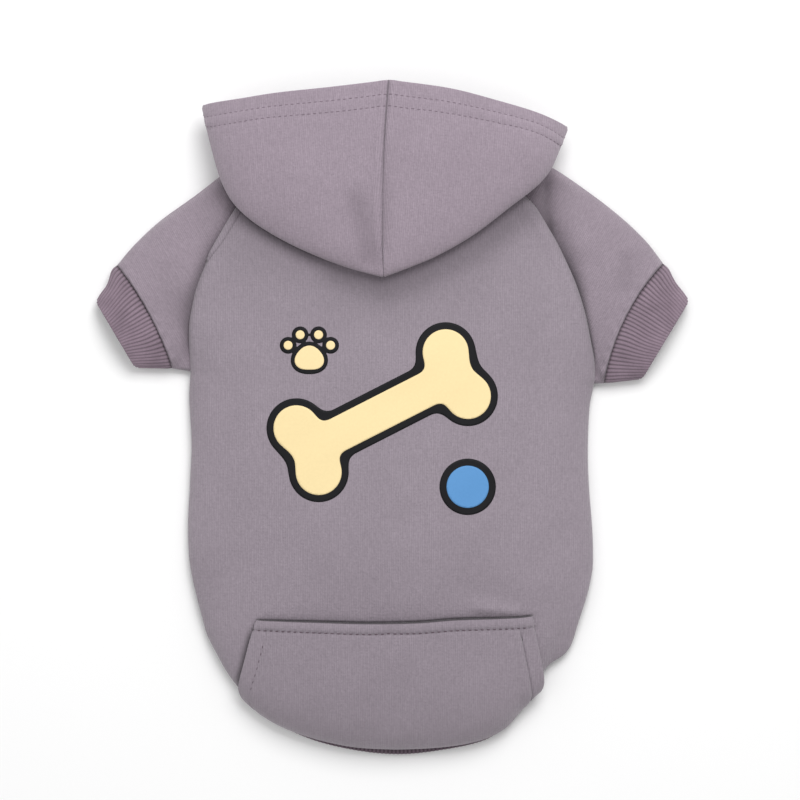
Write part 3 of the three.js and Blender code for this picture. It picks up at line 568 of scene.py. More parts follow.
def hood_grid(side, sign, per_station, per_row):
    """Smooth curves across the hood's lines, kept sharp at the face corner."""
    q = np.linspace(0, LAST_STATION, LAST_STATION * per_row + 1)
    lines = np.array([hood_line(side, sign, i, q) for i in range(HOOD_STATIONS + 1)])
    parts = []
    ends = (0, HOOD_CORNER, HOOD_CORNER + 1, HOOD_STATIONS)
    for first, last in zip(ends, ends[1:]):
        steps = (last - first) * per_station
        places = np.linspace(first, last, steps + 1)
        part = along(np.arange(first, last + 1), lines[first : last + 1], places)
        parts.append(part if first == 0 else part[1:])
    return np.concatenate(parts).transpose(1, 0, 2)


# The frame's origin lies half way between the cuffs, and its y = 0 is found from the belly's hem
cuff_reach = [
    seam_ends(side, sign)[1][0] + sign * CUFF_LENGTH * CUFFS[side]["high_out"]
    for side, sign in HALVES
]
underarm_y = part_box("belly_panel")[0][1] / MM + SIDE - SEAM_GAP / 2
SHIFT = np.array([-sum(cuff_reach) / 2, underarm_y, 0.0])


# Small forms laid over the smooth shapes


WAVES = 8


def hills(x, y, size, seed):
    """Soft uneven ground, mostly between -1 and 1: waves of one length in eight seeded directions."""
    draw = np.random.default_rng(seed)
    turn, phase = draw.uniform(0, 2 * np.pi, WAVES), draw.uniform(0, 2 * np.pi, WAVES)
    waves = [np.sin((x * np.cos(a) + y * np.sin(a)) * 2 * np.pi / size + p) for a, p in zip(turn, phase)]
    return sum(waves) / (WAVES / 2)


def uneven(grid, *layers):
    """The height of soft unevenness over a grid, from layers of hills with a height, a size and a seed."""
    return sum(height * hills(grid[..., 0], grid[..., 1], size, seed) for height, size, seed in layers)


def bell(distance, centre, width):
    """A bell curve: e to the power of less the square of the distance in widths."""
    return np.exp(-(((distance - centre) / width) ** 2))


def fold_line(x, y, start, end, width, height):
    """A ridge or, below 0, a crease between two places in plan: a bell across that fades at both ends."""
    start, end = np.array(start, float), np.array(end, float)
    run = end - start
    length = np.hypot(*run)
    t = ((x - start[0]) * run[0] + (y - start[1]) * run[1]) / length ** 2
    off = ((x - start[0]) * run[1] - (y - start[1]) * run[0]) / length
    fade = ease(t * 3 + 0.4) * ease((1 - t) * 3 + 0.4)
    return height * bell(off, 0, width) * fade


def nearest_distance(x, y, places):
    """How far each place in plan is from the nearest one of a list."""
    nearest = np.full(x.shape, np.inf)
    for px, py in places:
        nearest = np.minimum(nearest, np.hypot(x - px, y - py))
    return nearest


def edge_distance(grid, axis, from_end=False):
    """How far each point is from the grid's first or last row or column, measured over the cloth."""
    steps = np.linalg.norm(np.diff(grid, axis=axis), axis=-1)
    total = np.concatenate([np.zeros_like(np.take(steps, [0], axis)), np.cumsum(steps, axis)], axis)
    return np.take(total, [-1], axis) - total if from_end else total


def grid_normals(grid, out, closed):
    """Unit normals: the cross product of the steps down the rows and along the columns."""
    down = np.gradient(grid, axis=0)
    if closed:
        ring = grid[:, :-1]
        right = np.roll(ring, -1, 1) - np.roll(ring, 1, 1)
        right = np.concatenate([right, right[:, :1]], 1)
    else:
        right = np.gradient(grid, axis=1)
    return unit(np.cross(down, right)) * out


def raised(grid, out, closed, height):
    """Moves each point along its normal by a height."""
    return grid + grid_normals(grid, out, closed) * height[..., None]


# Meshes


def even_grid(rows, columns, last_row=1.0, last_column=1.0):
    """Two arrays that say how far down the rows and along the columns each point of a grid lies."""
    return np.meshgrid(np.linspace(0, last_row, rows), np.linspace(0, last_column, columns), indexing="ij")


def corners(values):
    """The four corners of each cell of a grid, in turn round it."""
    return np.stack([values[:-1, :-1], values[:-1, 1:], values[1:, 1:], values[1:, :-1]], 2)


def put_mesh(name, points, faces, finish, uvs=None, shade=None):
    """Makes an object from points in millimetres and arrays of faces with equally many corners."""
    mesh = bpy.data.meshes.new(name)
    mesh.vertices.add(len(points))
    mesh.vertices.foreach_set("co", ((points + SHIFT) * MM).astype(np.float32).ravel())
    ends = np.concatenate([f.ravel() for f in faces])
    sizes = np.concatenate([np.full(len(f), f.shape[1]) for f in faces])
    mesh.loops.add(len(ends))
    mesh.loops.foreach_set("vertex_index", ends.astype(np.int32))
    mesh.polygons.add(len(sizes))
    starts = np.concatenate([[0], np.cumsum(sizes)[:-1]]).astype(np.int32)
    mesh.polygons.foreach_set("loop_start", starts)
    mesh.update(calc_edges=True)
    mesh.polygons.foreach_set("use_smooth", np.ones(len(sizes), bool))
    if uvs is not None:
        spots = np.concatenate([u.reshape(-1, 2) for u in uvs])
        mesh.uv_layers.new(name="cloth").data.foreach_set("uv", spots.astype(np.float32).ravel())
    if shade is not None:
        mesh.attributes.new("shade", "FLOAT", "POINT").data.foreach_set("value", shade.astype(np.float32))
    mesh.materials.append(finish)
    made = bpy.data.objects.new(name, mesh)
    bpy.context.collection.objects.link(made)
    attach(made, "root")
    return made


def free_edges(grid, closed):
    """Which way a grid's free edges face, and how far in from them its middle is drawn to round them."""
    outward, inset = np.zeros_like(grid), np.zeros(grid.shape[:2])
    borders = [(np.s_[0], np.s_[1]), (np.s_[-1], np.s_[-2])]
    if not closed:
        borders += [(np.s_[:, 0], np.s_[:, 1]), (np.s_[:, -1], np.s_[:, -2])]
    for border, inner in borders:
        step = grid[border] - grid[inner]
        outward[border] += unit(step)
        inset[border] = EDGE_INSET * np.linalg.norm(step, axis=-1)
    return unit(outward), np.minimum(inset, EDGE_ROUNDING)


def cloth(name, grid, wall, out, closed, finish, pattern, shade=1.0, rim=5):
    """A closed wall round a grid in the middle of the cloth, its free edges rounded by half circles.

    pattern gives each grid point its place in the knit, in millimetres across and along the wales.
    shade darkens the outer face where it is below 1: painted shade and shadow in seams, creases and under
    other pieces, and an even darkening of the waistband. 1 is plain."""
    rows, columns = grid.shape[:2]
    outward, inset = free_edges(grid, closed)
    normals = grid_normals(grid, out, closed)
    middle = grid - outward * inset[..., None]
    outer, inner = middle + normals * wall / 2, middle - normals * wall / 2
    kept = np.s_[:, :-1] if closed else np.s_[:, :]
    width = columns - 1 if closed else columns
    vertex = (np.arange(rows)[:, None] * width + np.arange(columns)[None, :] % width).ravel()
    count = rows * width
    tone = np.broadcast_to(shade, (rows, columns))
    points = [outer[kept].reshape(-1, 3), inner[kept].reshape(-1, 3)]
    tones = [tone[kept].ravel(), np.ones(count)]
    full = np.arange(rows * columns).reshape(rows, columns)
    quads = corners(full)[..., [0, 3, 2, 1]].reshape(-1, 4)
    spots = pattern.reshape(-1, 2)
    faces = [vertex[quads], vertex[quads[:, ::-1]] + count]
    uvs = [spots[quads], spots[quads[:, ::-1]]]
    if closed:
        loops = [full[0], full[-1, ::-1]]
    else:
        loops = [np.concatenate([full[0], full[1:, -1], full[-1, -2::-1], full[-2::-1, 0]])]
    turn = np.linspace(0, np.pi, rim + 1)[1:-1, None, None]
    start = 2 * count
    for loop in loops:
        around = loop[:-1]
        size = len(around)
        centre, normal, away = (values.reshape(-1, 3)[around] for values in (middle, normals, outward))
        ring = centre + normal * np.cos(turn) * wall / 2 + away * np.sin(turn) * EDGE_ROUNDING
        points.append(ring.reshape(-1, 3))
        tones.append(np.tile(tone.ravel()[around], rim - 1))
        between = start + np.arange((rim - 1) * size).reshape(rim - 1, size)
        strip = np.concatenate([vertex[around][None], between, vertex[around][None] + count])
        strip = np.concatenate([strip, strip[:, :1]], 1)
        faces.append(corners(strip).reshape(-1, 4))
        uvs.append(corners(np.tile(spots[loop], (rim + 1, 1, 1))).reshape(-1, 4, 2))
        start += (rim - 1) * size
    if out < 0:
        faces, uvs = [f[:, ::-1] for f in faces], [u[:, ::-1] for u in uvs]
    piece = put_mesh(name, np.concatenate(points), faces, finish, uvs, np.concatenate(tones))
    return piece, outer


def plan_pattern(grid, turn_degrees=0.0):
    """The knit's place taken from above, turned by the piece's own grain."""
    a = np.radians(turn_degrees)
    x, y = grid[..., 0], grid[..., 1]
    return np.stack([x * np.cos(a) + y * np.sin(a), y * np.cos(a) - x * np.sin(a)], -1)


def along_line(points, lengths, places):
    """Points of a line at given lengths along it."""
    return np.stack([np.interp(places, lengths, points[:, k]) for k in range(3)], -1)


STITCH_SIDES, STITCH_RINGS = 6, 3


def stitches(name, path, finish, pitch, length, width, rise=0.0):
    """Equal stitches along a path: stretched spheres every pitch, lying along it and sunk into the cloth."""
    lengths = np.r_[0, np.cumsum(np.linalg.norm(np.diff(path, axis=0), axis=1))]
    places = np.arange(pitch / 2, lengths[-1], pitch)
    centre, front, end = (along_line(path, lengths, places + step * length / 2) for step in (0, 1, -1))
    up = np.array([0, 0, 1.0])
    ahead = unit(front - end)
    side = unit(np.cross(up, ahead))
    tilt = np.linspace(0, np.pi, STITCH_RINGS + 2)[1:-1]
    turn = np.arange(STITCH_SIDES) * 2 * np.pi / STITCH_SIDES
    ring = np.array([(-np.cos(a), np.sin(a) * np.cos(t), np.sin(a) * np.sin(t)) for a in tilt for t in turn])
    shape = np.concatenate([[(-1, 0, 0)], ring, [(1, 0, 0)]]) * [length / 2, width / 2, width / 2]
    points = centre[:, None] + up * rise
    for k, axis in enumerate((ahead, side, np.broadcast_to(up, ahead.shape))):
        points = points + shape[None, :, k : k + 1] * axis[:, None]
    n = np.arange(STITCH_SIDES)
    around = (n + 1) % STITCH_SIDES
    last = 1 + STITCH_SIDES * STITCH_RINGS
    quads = []
    for first in range(1, last - STITCH_SIDES, STITCH_SIDES):
        following = first + STITCH_SIDES
        quads.append(np.stack([first + n, first + around, following + around, following + n], -1))
    caps = np.concatenate([
        np.stack([np.zeros_like(n), 1 + around, 1 + n], -1),
        np.stack([np.full_like(n, last), last - STITCH_SIDES + n, last - STITCH_SIDES + around], -1),
    ])
    offset = (np.arange(len(places)) * len(shape))[:, None, None]
    faces = [(np.concatenate(quads)[None] + offset).reshape(-1, 4), (caps[None] + offset).reshape(-1, 3)]
    return put_mesh(name, points.reshape(-1, 3), faces, finish)


def inset_line(outer, distance, columns):
    """The points of a surface that lie a distance in from its last row, for a run of columns."""
    inward = outer[::-1, columns]
    total = edge_distance(inward, 0)
    return np.array([along_line(inward[:, c], total[:, c], distance) for c in range(inward.shape[1])])


# Finishes

# Width of a wale of the knit
WALE = 1.0


def srgb(red, green, blue):
    """Display colours of 0 to 255 as the linear ones that a shader takes."""
    value = np.array([red, green, blue]) / 255
    linear = np.where(value <= 0.04045, value / 12.92, ((value + 0.055) / 1.055) ** 2.4)
    return (*linear.tolist(), 1.0)


class Nodes:
    """A few words for building a material's nodes."""

    def __init__(self, name):
        self.material = bpy.data.materials.new(name)
        self.material.use_nodes = True
        self.tree = self.material.node_tree
        self.shader = self.tree.nodes["Principled BSDF"]

    def add(self, kind, inputs=(), **settings):
        node = self.tree.nodes.new("ShaderNode" + kind)
        for key, value in settings.items():
            setattr(node, key, value)
        for socket, value in dict(inputs).items():
            self.join(value, node.inputs[socket])
        return node

    def join(self, value, socket):
        if hasattr(value, "is_output"):
            self.tree.links.new(value, socket)
        else:
            socket.default_value = value

    def math(self, operation, first, second=0.0):
        return self.add("Math", {0: first, 1: second}, operation=operation).outputs[0]

    def plus(self, first, second):
        return self.math("ADD", first, second)

    def times(self, first, second):
        return self.math("MULTIPLY", first, second)

    def tint(self, factor, low, high):
        return self.add("Mix", {"Factor": factor, 6: low, 7: high}, data_type="RGBA").outputs[2]

    def noise(self, place, scale, detail=3.0):
        return self.add("TexNoise", {"Vector": place, "Scale": scale, "Detail": detail}).outputs["Fac"]

    def wide_noise(self, place, scale, gain, detail=3.0):
        """Widens a noise, whose values crowd round a half, towards 0 and 1."""
        spread = self.times(self.math("SUBTRACT", self.noise(place, scale, detail), 0.5), gain)
        return self.add("Math", {0: spread, 1: 0.5}, operation="ADD", use_clamp=True).outputs[0]

    def bump(self, height, strength, depth):
        """Small relief, its depth in millimetres."""
        return self.add("Bump", {"Height": height, "Strength": strength, "Distance": depth * MM}).outputs[0]

    def finish(self, inputs):
        for socket, value in inputs.items():
            self.join(value, self.shader.inputs[socket])
        return self.material


def scaled(color, share):
    """A colour's three parts times a share."""
    return (*[min(1.0, value * share) for value in color[:3]], 1.0)


def cloth_nodes(name):
    """What both knits begin with: nodes, the knit's own place, its two axes and the place on the object."""
    n = Nodes(name)
    place = n.add("UVMap", uv_map="cloth").outputs[0]
    across, down, _ = n.add("SeparateXYZ", {0: place}).outputs
    return n, place, across, down, n.add("TexCoord").outputs["Object"]


def with_painted_shade(n, color, plain):
    """Darkens a colour with painted shade and shadow where the mesh's shade is below 1."""
    shade = n.add("Attribute", attribute_name="shade").outputs["Fac"]
    return n.tint(shade, scaled(color, 0.12), plain)


def knit(name, color):
    """Brushed jersey: fine wales, clearer in some places, a fuzzy grain and slightly uneven dye."""
    n, place, across, down, object_place = cloth_nodes(name)
    dye = n.wide_noise(object_place, 38.0, 2.2, 4.0)
    wear = n.wide_noise(object_place, 75.0, 2.6)
    fuzz = n.wide_noise(object_place, 800.0, 2.4)
    stretch = n.add("Mapping", {"Vector": place, "Scale": (1.0, 0.2, 1.0)}).outputs[0]
    fibre = n.wide_noise(stretch, 1.0, 2.2, 4.0)
    turn = n.plus(n.times(across, 2 * np.pi / WALE), n.times(fuzz, 1.2))
    wales = n.math("SINE", turn)
    rows = n.math("SINE", n.times(down, 2 * np.pi / (WALE * 0.8)))
    loops = n.plus(n.times(wales, 0.75), n.times(rows, 0.25))
    shown = n.times(loops, n.plus(n.times(wear, 0.15), 0.05))
    patchy = n.tint(dye, scaled(color, 0.92), scaled(color, 1.08))
    fibres = n.tint(fibre, scaled(color, 0.84), scaled(color, 1.16))
    grain = n.plus(n.plus(shown, 0.1), n.times(fuzz, 0.2))
    looped = n.tint(grain, n.tint(0.5, patchy, fibres), scaled(color, 0.4))
    height = n.plus(n.times(loops, 0.35), n.plus(fuzz, fibre))
    return n.finish({
        "Base Color": with_painted_shade(n, color, looped),
        "Normal": n.bump(height, 0.45, 0.4),
        "Roughness": 0.92,
        "Specular IOR Level": 0.18,
        "Sheen Weight": 0.3,
        "Sheen Roughness": 0.55,
    })


def rib_knit(name, color):
    """Ribbing: the pattern's first number counts ribs, and the furrows between them are painted darker, as
    shade.
    """
    n, _, across, down, object_place = cloth_nodes(name)
    fuzz = n.wide_noise(object_place, 1200.0, 2.2)
    dye = n.wide_noise(object_place, 90.0, 2.4)
    rib = n.math("COSINE", n.times(across, 2 * np.pi))
    furrow = n.math("POWER", n.times(n.math("SUBTRACT", 1.0, rib), 0.5), 0.65)
    rows = n.math("SINE", n.times(down, 2 * np.pi / (WALE * 0.8)))
    patchy = n.tint(dye, scaled(color, 0.86), scaled(color, 1.14))
    # Painted shade in the furrows between the ribs
    ribs = n.tint(n.times(furrow, 0.9), patchy, scaled(color, 0.3))
    looped = n.tint(n.times(fuzz, 0.3), ribs, scaled(color, 0.55))
    height = n.plus(fuzz, n.times(rows, 0.3))
    return n.finish({
        "Base Color": with_painted_shade(n, color, looped),
        "Normal": n.bump(height, 0.35, 0.4),
        "Roughness": 0.95,
        "Specular IOR Level": 0.15,
        "Sheen Weight": 0.25,
    })


def thread(name, color):
    """Sewing thread: a fine twist along each stitch."""
    n = Nodes(name)
    twist = n.noise(n.add("TexCoord").outputs["Object"], 2500.0, 2.0)
    return n.finish({"Base Color": n.tint(twist, scaled(color, 0.8), scaled(color, 1.15)), "Roughness": 0.7})


def print_ink(name, color):
    """Printed film: smooth colour that lets a little of the knit show through."""
    n = Nodes(name)
    grain = n.noise(n.add("TexCoord").outputs["Object"], 700.0, 2.0)
    return n.finish({
        "Base Color": n.tint(grain, scaled(color, 0.95), scaled(color, 1.03)),
        "Normal": n.bump(grain, 0.15, 0.2),
        "Roughness": 0.62,
        "Specular IOR Level": 0.25,
    })


# The four jerseys are one cloth: their colours differ as painted light, lighter on the hood and a little
# darker on the sleeves and the pocket than on the body
body_knit = knit("body_jersey", srgb(156, 145, 155))
hood_knit = knit("hood_jersey", srgb(161, 147, 159))
sleeve_knit = knit("sleeve_jersey", srgb(155, 142, 153))
pocket_knit = knit("pocket_jersey", srgb(154, 143, 153))
rib_finish = rib_knit("cuff_rib", srgb(145, 127, 140))
hem_thread = thread("mauve_thread", srgb(120, 106, 117))
pocket_thread = thread("dark_mauve_thread", srgb(92, 76, 86))


# The pieces. Their small forms and painted shades are bells across a seam, an edge or a fold: each bell takes
# the distance from it, and the bell's own centre and width in millimetres


def seam_strip(y):
    """The strip beside the left raglan seam: where it shows, and how wide it is."""
    return ease((y - 60) / 4), 0.6 + 3.1 * ease((y - 61) / 14)


# Steps along the pocket's mouth and its left edge, and how many of them stand open down the left edge
SHADE_STEPS, OPEN_STEPS = 400, 300


def pocket_shadow(x, y):
    """Painted shadow along the pocket's mouth and its left edge, where the pocket stands off the back."""
    g = np.linspace(0, 1, SHADE_STEPS)
    mouth, side = pocket_point(np.zeros_like(g), g), pocket_point(g, np.zeros_like(g))
    over = y - np.interp(x, mouth[:, 0], mouth[:, 1])
    across = ease((x - mouth[0, 0]) / 4) * ease((mouth[-1, 0] - x) / 4)
    beside = np.interp(-y, -side[:, 1], side[:, 0]) - x
    down = ease((side[0, 1] - y) / 12) * ease((y - side[OPEN_STEPS, 1]) / 6)
    edge = np.concatenate([mouth, side[:OPEN_STEPS]])[:, :2]
    line = 0.95 * bell(nearest_distance(x, y, edge), 0, 0.8)
    return np.maximum(line, 0.2 * bell(over, 0, 2.2) * across + 0.7 * bell(beside, 0.8, 1.7) * down)


def hood_shadow(x, y):
    """Painted shadow of the hood's fold on the cloth beside it: sharp on the left, and soft and wide from the
    tip to the right.
    """
    steps = np.linspace(0, 1, 240)
    fold = [hood_fold(side, sign, step)[:2] for side, sign in HALVES for step in steps]
    away = nearest_distance(x, y, fold)
    sharp = ease((-24 - x) / 26)
    close = mix(0.24 * bell(away, 8, 7), 0.72 * bell(away, 0, 1.2) + 0.22 * bell(away, 0, 6), sharp)
    return close + 0.17 * bell(away, 6, 22)


# Runs of the back's rows and their steps: finer under the hood's fold and by the pocket's mouth
BACK_RUNS = ((0, 4.5, 68), (4.5, 16.85, 79), (16.85, 17.5, 41), (17.5, BACK_ROWS, 47))
BACK_COLUMNS = 198

# The ridge above the pocket and the crease over it: start, end, width and height
BACK_FOLDS = (((43, -127), (71, -131), 3.0, 1.2), ((38, -119), (76, -124), 4.0, -0.4))


def add_back():
    """The back panel: soft unevenness, a strip along the left raglan seam and a crease above the pocket."""
    runs = [np.linspace(first, last, steps + 1)[1:] for first, last, steps in BACK_RUNS]
    row = np.concatenate([[0.0]] + runs)[:, None]
    grid = back_point(row, np.linspace(0, 1, BACK_COLUMNS)[None, :])
    x, y = grid[..., 0], grid[..., 1]
    on_yoke = (row < YOKE_ROWS) * np.ones_like(x)
    from_left, from_right = edge_distance(grid, 1), edge_distance(grid, 1, True)
    shown, wide = seam_strip(y)
    height = uneven(grid, (0.4, 55, 3), (0.14, 23, 8))
    for fold in BACK_FOLDS:
        height += fold_line(x, y, *fold)
    height += on_yoke * shown * (1.2 * bell(from_left / wide, 0.4, 0.45) - 0.7 * bell(from_left, wide, 0.5))
    height += on_yoke * 0.6 * bell(from_left, 3.5, 3.5) * (1 - shown)
    height += on_yoke * 1.1 * bell(from_right, 4.5, 4.0)
    # Painted shade: a dark line beside the left seam strip, the pocket's and the hood's painted shadows, and
    # a broad darkening low on the middle of the back
    shade = 1 - on_yoke * shown * 0.6 * bell(from_left, wide, 0.5) - pocket_shadow(x, y)
    painted_hollow_shade = 0.08 * bell(y, -112, 26) * bell(x, 5, 75)
    shade = np.maximum(shade - on_yoke * hood_shadow(x, y) - painted_hollow_shade, 0)
    above_fold = ease((grid[..., 2] - FOLD_HEIGHT + 1) / 4)
    grid = raised(grid, 1, False, height * above_fold)
    return cloth("back_cloth", grid, WALL, 1, False, body_knit, plan_pattern(grid), shade)


def add_belly():
    """The belly panel, plain because it lies underneath."""
    grid = belly_point(*even_grid(70, 90, YOKE_ROWS + SIDE_ROWS))
    return cloth("belly_cloth", grid, WALL, -1, False, body_knit, plan_pattern(grid))


# The valley along each raglan seam, up its side of the sleeve: how dark its painted shade is and how wide it
# is
SEAM_VALLEYS = {
    "left": table(
        "up depth width",
        (0, 0.5, 4), (0.17, 0.6, 4.2), (0.31, 0.46, 8), (0.46, 0.52, 5), (0.6, 0.46, 4.8), (0.78, 0.3, 4.5),
        (1, 0.2, 4),
    ),
    "right": table(
        "up depth width",
        (0, 0.4, 2), (0.17, 0.5, 2.3), (0.31, 0.74, 3), (0.46, 0.84, 4.8), (0.6, 0.66, 6.5),
        (0.75, 0.35, 9.5), (0.9, 0.12, 9), (1, 0.1, 8),
    ),
}

# Folds of each sleeve: start, end, width and height
SLEEVE_FOLDS = {
    "left": (((-124, 92), (-116, 42), 9, 1.2),),
    "right": (
        ((85, 110), (87, 76), 3.6, -2.2),
        ((92, 104), (104, 66), 7, 1.8),
        ((130, 68), (127, 44), 6, -1.2),
    ),
}
SLEEVE_GRAIN = 28
VALLEY_DEPTH = 1.6
GATHER_PITCH = 7.5


def add_sleeve(side, sign):
    """A sleeve: soft folds, a valley along the body's seam and small gathers at the cuff."""
    s, k = even_grid(76, 241, last_column=RING)
    grid = sleeve_point(side, sign, s, k)
    x, y = grid[..., 0], grid[..., 1]
    share = ring_share(k)
    on_top = ease(share * 7) * ease((1 - share) * 7) * (k <= SHOULDER)
    from_cuff = edge_distance(grid, 0, True)
    from_seam = nearest_distance(x, y, armhole(sign, np.linspace(0, YOKE_ROWS, 120))[:, :2])
    up = np.clip(y / YOKE, 0, 1)
    depth, width = (read(SEAM_VALLEYS[side], "up", name, up) for name in ("depth", "width"))
    soft = sum(fold_line(x, y, *fold) for fold in SLEEVE_FOLDS[side])
    valley = bell(from_seam, 0, width)
    gathers = np.cos(2 * np.pi * edge_distance(grid, 1) / GATHER_PITCH)
    height = uneven(grid, (0.3, 31, 5 + sign)) + soft - VALLEY_DEPTH * valley
    height += (0.5 + 0.25 * gathers) * bell(from_cuff, 2.2, 2.4)
    # Painted shade in the seam's valley and the creases, a dark painted line at the cuff seam and the hood's
    # painted shadow
    shade = 1 - depth * valley + 0.1 * np.minimum(soft, 0)
    shade = np.maximum(shade - 0.5 * bell(from_cuff, 0, 0.5) - 0.8 * hood_shadow(x, y), 0)
    grid = raised(grid, sign, True, height * on_top)
    pattern = plan_pattern(grid, SLEEVE_GRAIN * -sign)
    return cloth("sleeve_cloth_" + side, grid, WALL, sign, True, sleeve_knit, pattern, mix(1, shade, on_top))


RIB_SHARPNESS = 1.3
RIB_MIDDLE = 0.6


def ribbed(grid, out, depth, fade_rows=1.0, waver=0.0):
    """Lifts whole ribs round a ring, as many as fit it at the rib pitch, wavering by a share of a rib."""
    length = edge_distance(grid, 1).mean(axis=0)
    count = round(length[-1] / RIB_PITCH)
    phase = length / length[-1] * count + waver * np.ones(grid.shape[:2])
    lift = depth * (np.abs(np.cos(np.pi * phase)) ** RIB_SHARPNESS - RIB_MIDDLE)
    rows = np.arange(grid.shape[0])[:, None]
    fade = np.clip((rows + 0.5) / fade_rows, 0, 1)
    grid = raised(grid, out, True, lift * fade)
    return grid, np.stack([phase, edge_distance(grid, 0)], -1)


CUFF_CORNER = 2.0
CUFF_WAVER = 0.25
CUFF_WALL = RIB_WALL - 0.6


def add_cuff(side, sign, swell):
    """A cuff: wavering ribs, rounded corners, and a fold that swells past the seam and then draws in."""
    s, k = even_grid(28, 541, last_column=RING)
    share = ring_share(k)
    across = (1 - np.cos(np.pi * share)) / 2
    from_fold = CUFF_WIDTH * np.minimum(across, 1 - across)
    missing = np.maximum(CUFF_CORNER - from_fold, 0)
    cut = CUFF_CORNER - np.sqrt(CUFF_CORNER ** 2 - missing ** 2)
    grid = cuff_point(side, sign, s * (1 - cut / CUFF_LENGTH), k)
    low, high, _ = seam_ends(side, sign)
    bulge = swell * (1.3 * bell(s, 0.18, 0.15) - 0.8 * bell(s, 0.55, 0.18))
    grid = grid + (bulge * across ** 8)[..., None] * unit(high - low)
    from_seam = edge_distance(grid, 0)
    on_top = np.sin(np.pi * share) * (k <= SHOULDER)
    waver = CUFF_WAVER * on_top * hills(grid[..., 0], grid[..., 1], 22, 40 + sign)
    grid = raised(grid, sign, True, on_top * (0.5 * bell(from_seam, 10, 7) - 0.9 * bell(from_seam, 0, 1.2)))
    grid, pattern = ribbed(grid, sign, RIB_DEPTH, 5, waver)
    # Painted shade in the seam's dip by the sleeve
    shade = 1 - 0.8 * bell(from_seam, 0.3, 0.8)
    return cloth("cuff_rib_" + side, grid, CUFF_WALL, sign, True, rib_finish, pattern, shade)


# The waistband's ring: along the belly's hem, down the right side, round the back's hem and up the left side
BAND_STEPS = 24
BELLY_RUN, HEM_RUN = 10, 20
BAND_ROWS = 10
BAND_SWELL = 1.9
BAND_LIFT = 0.9
BAND_SETTLE = 0.35
BAND_RIB_DEPTH = 0.7
BAND_TEETH = 0.3
BAND_HEIGHT = RIB_WALL / 2 + 0.2
BAND_WALL = RIB_WALL - 0.7


def add_waistband():
    """The band goes on from the belly's hem, and turns flat under the back's rounded edge."""
    runs = (BELLY_RUN, HEM_ROWS, HEM_RUN)
    belly_run, side_run, hem_run = (np.arange(0, run, 1 / BAND_STEPS) for run in runs)
    ring = np.concatenate([
        belly_point(YOKE_ROWS + SIDE_ROWS, belly_run / BELLY_RUN),
        back_point(YOKE_ROWS + SIDE_ROWS + side_run, 1.0),
        back_point(BACK_ROWS, 1 - hem_run / HEM_RUN),
        back_point(BACK_ROWS - side_run, 0.0),
    ])
    under = np.ones(len(ring))
    under[: len(belly_run)] = 1 - ease(np.minimum(belly_run, BELLY_RUN - belly_run))
    hem_end, middle = -(SIDE + HEM_SIDE + HEM_DROP), -SIDE - HEM_SIDE
    outer_height = FOLD_HEIGHT - 3 * SEAM_GAP - BAND_HEIGHT
    reach = np.clip((ring[:, 1] - middle) / (hem_end - middle), 0, 1)
    shown = BAND_PEEK + BAND_SWELL * bell(ring[:, 0], 2, 28) - BAND_LIFT
    drop = mix(SEAM_GAP, shown * ease(reach) ** 2, under)
    outer = point(ring[:, 0], ring[:, 1] - drop, mix(BAND_HEIGHT, outer_height, under))
    share = np.where(ring[:, 1] > middle, 1 - BAND_WIDTH / HEM_SIDE, 1 - BAND_WIDTH / HEM_DROP)
    inner = point(ring[:, 0] * (1 - BAND_WIDTH / CHEST), middle + (ring[:, 1] - middle) * share, BAND_HEIGHT)
    settled = mix(outer, inner, BAND_SETTLE)
    settled[:, 2] = BAND_HEIGHT
    grid = along([0, BAND_SETTLE, 1], np.array([outer, settled, inner]), np.linspace(0, 1, BAND_ROWS))
    grid = np.concatenate([grid, grid[:, :1]], 1)
    grid, pattern = ribbed(grid, 1, BAND_RIB_DEPTH)
    grid[0, :, 1] -= BAND_TEETH * np.abs(np.cos(np.pi * pattern[0, :, 0])) * np.append(under, under[0])
    # The whole band is darkened evenly through a shade of 0.72
    return cloth("waistband_rib", grid, BAND_WALL, 1, True, rib_finish, pattern, 0.72)


HOOD_PER_STATION, HOOD_PER_ROW = 9, 6
HOOD_HEM = (7.5, 14.0)

# Levels where the centre seam begins to show and where its painted shade darkens, and the left half's dent
HOOD_TIP_SHOWN = 66
HOOD_SEAM_TOP = 108
HOOD_DENT = ((-22, 102), (-11, 57), 6.5, 1.0)


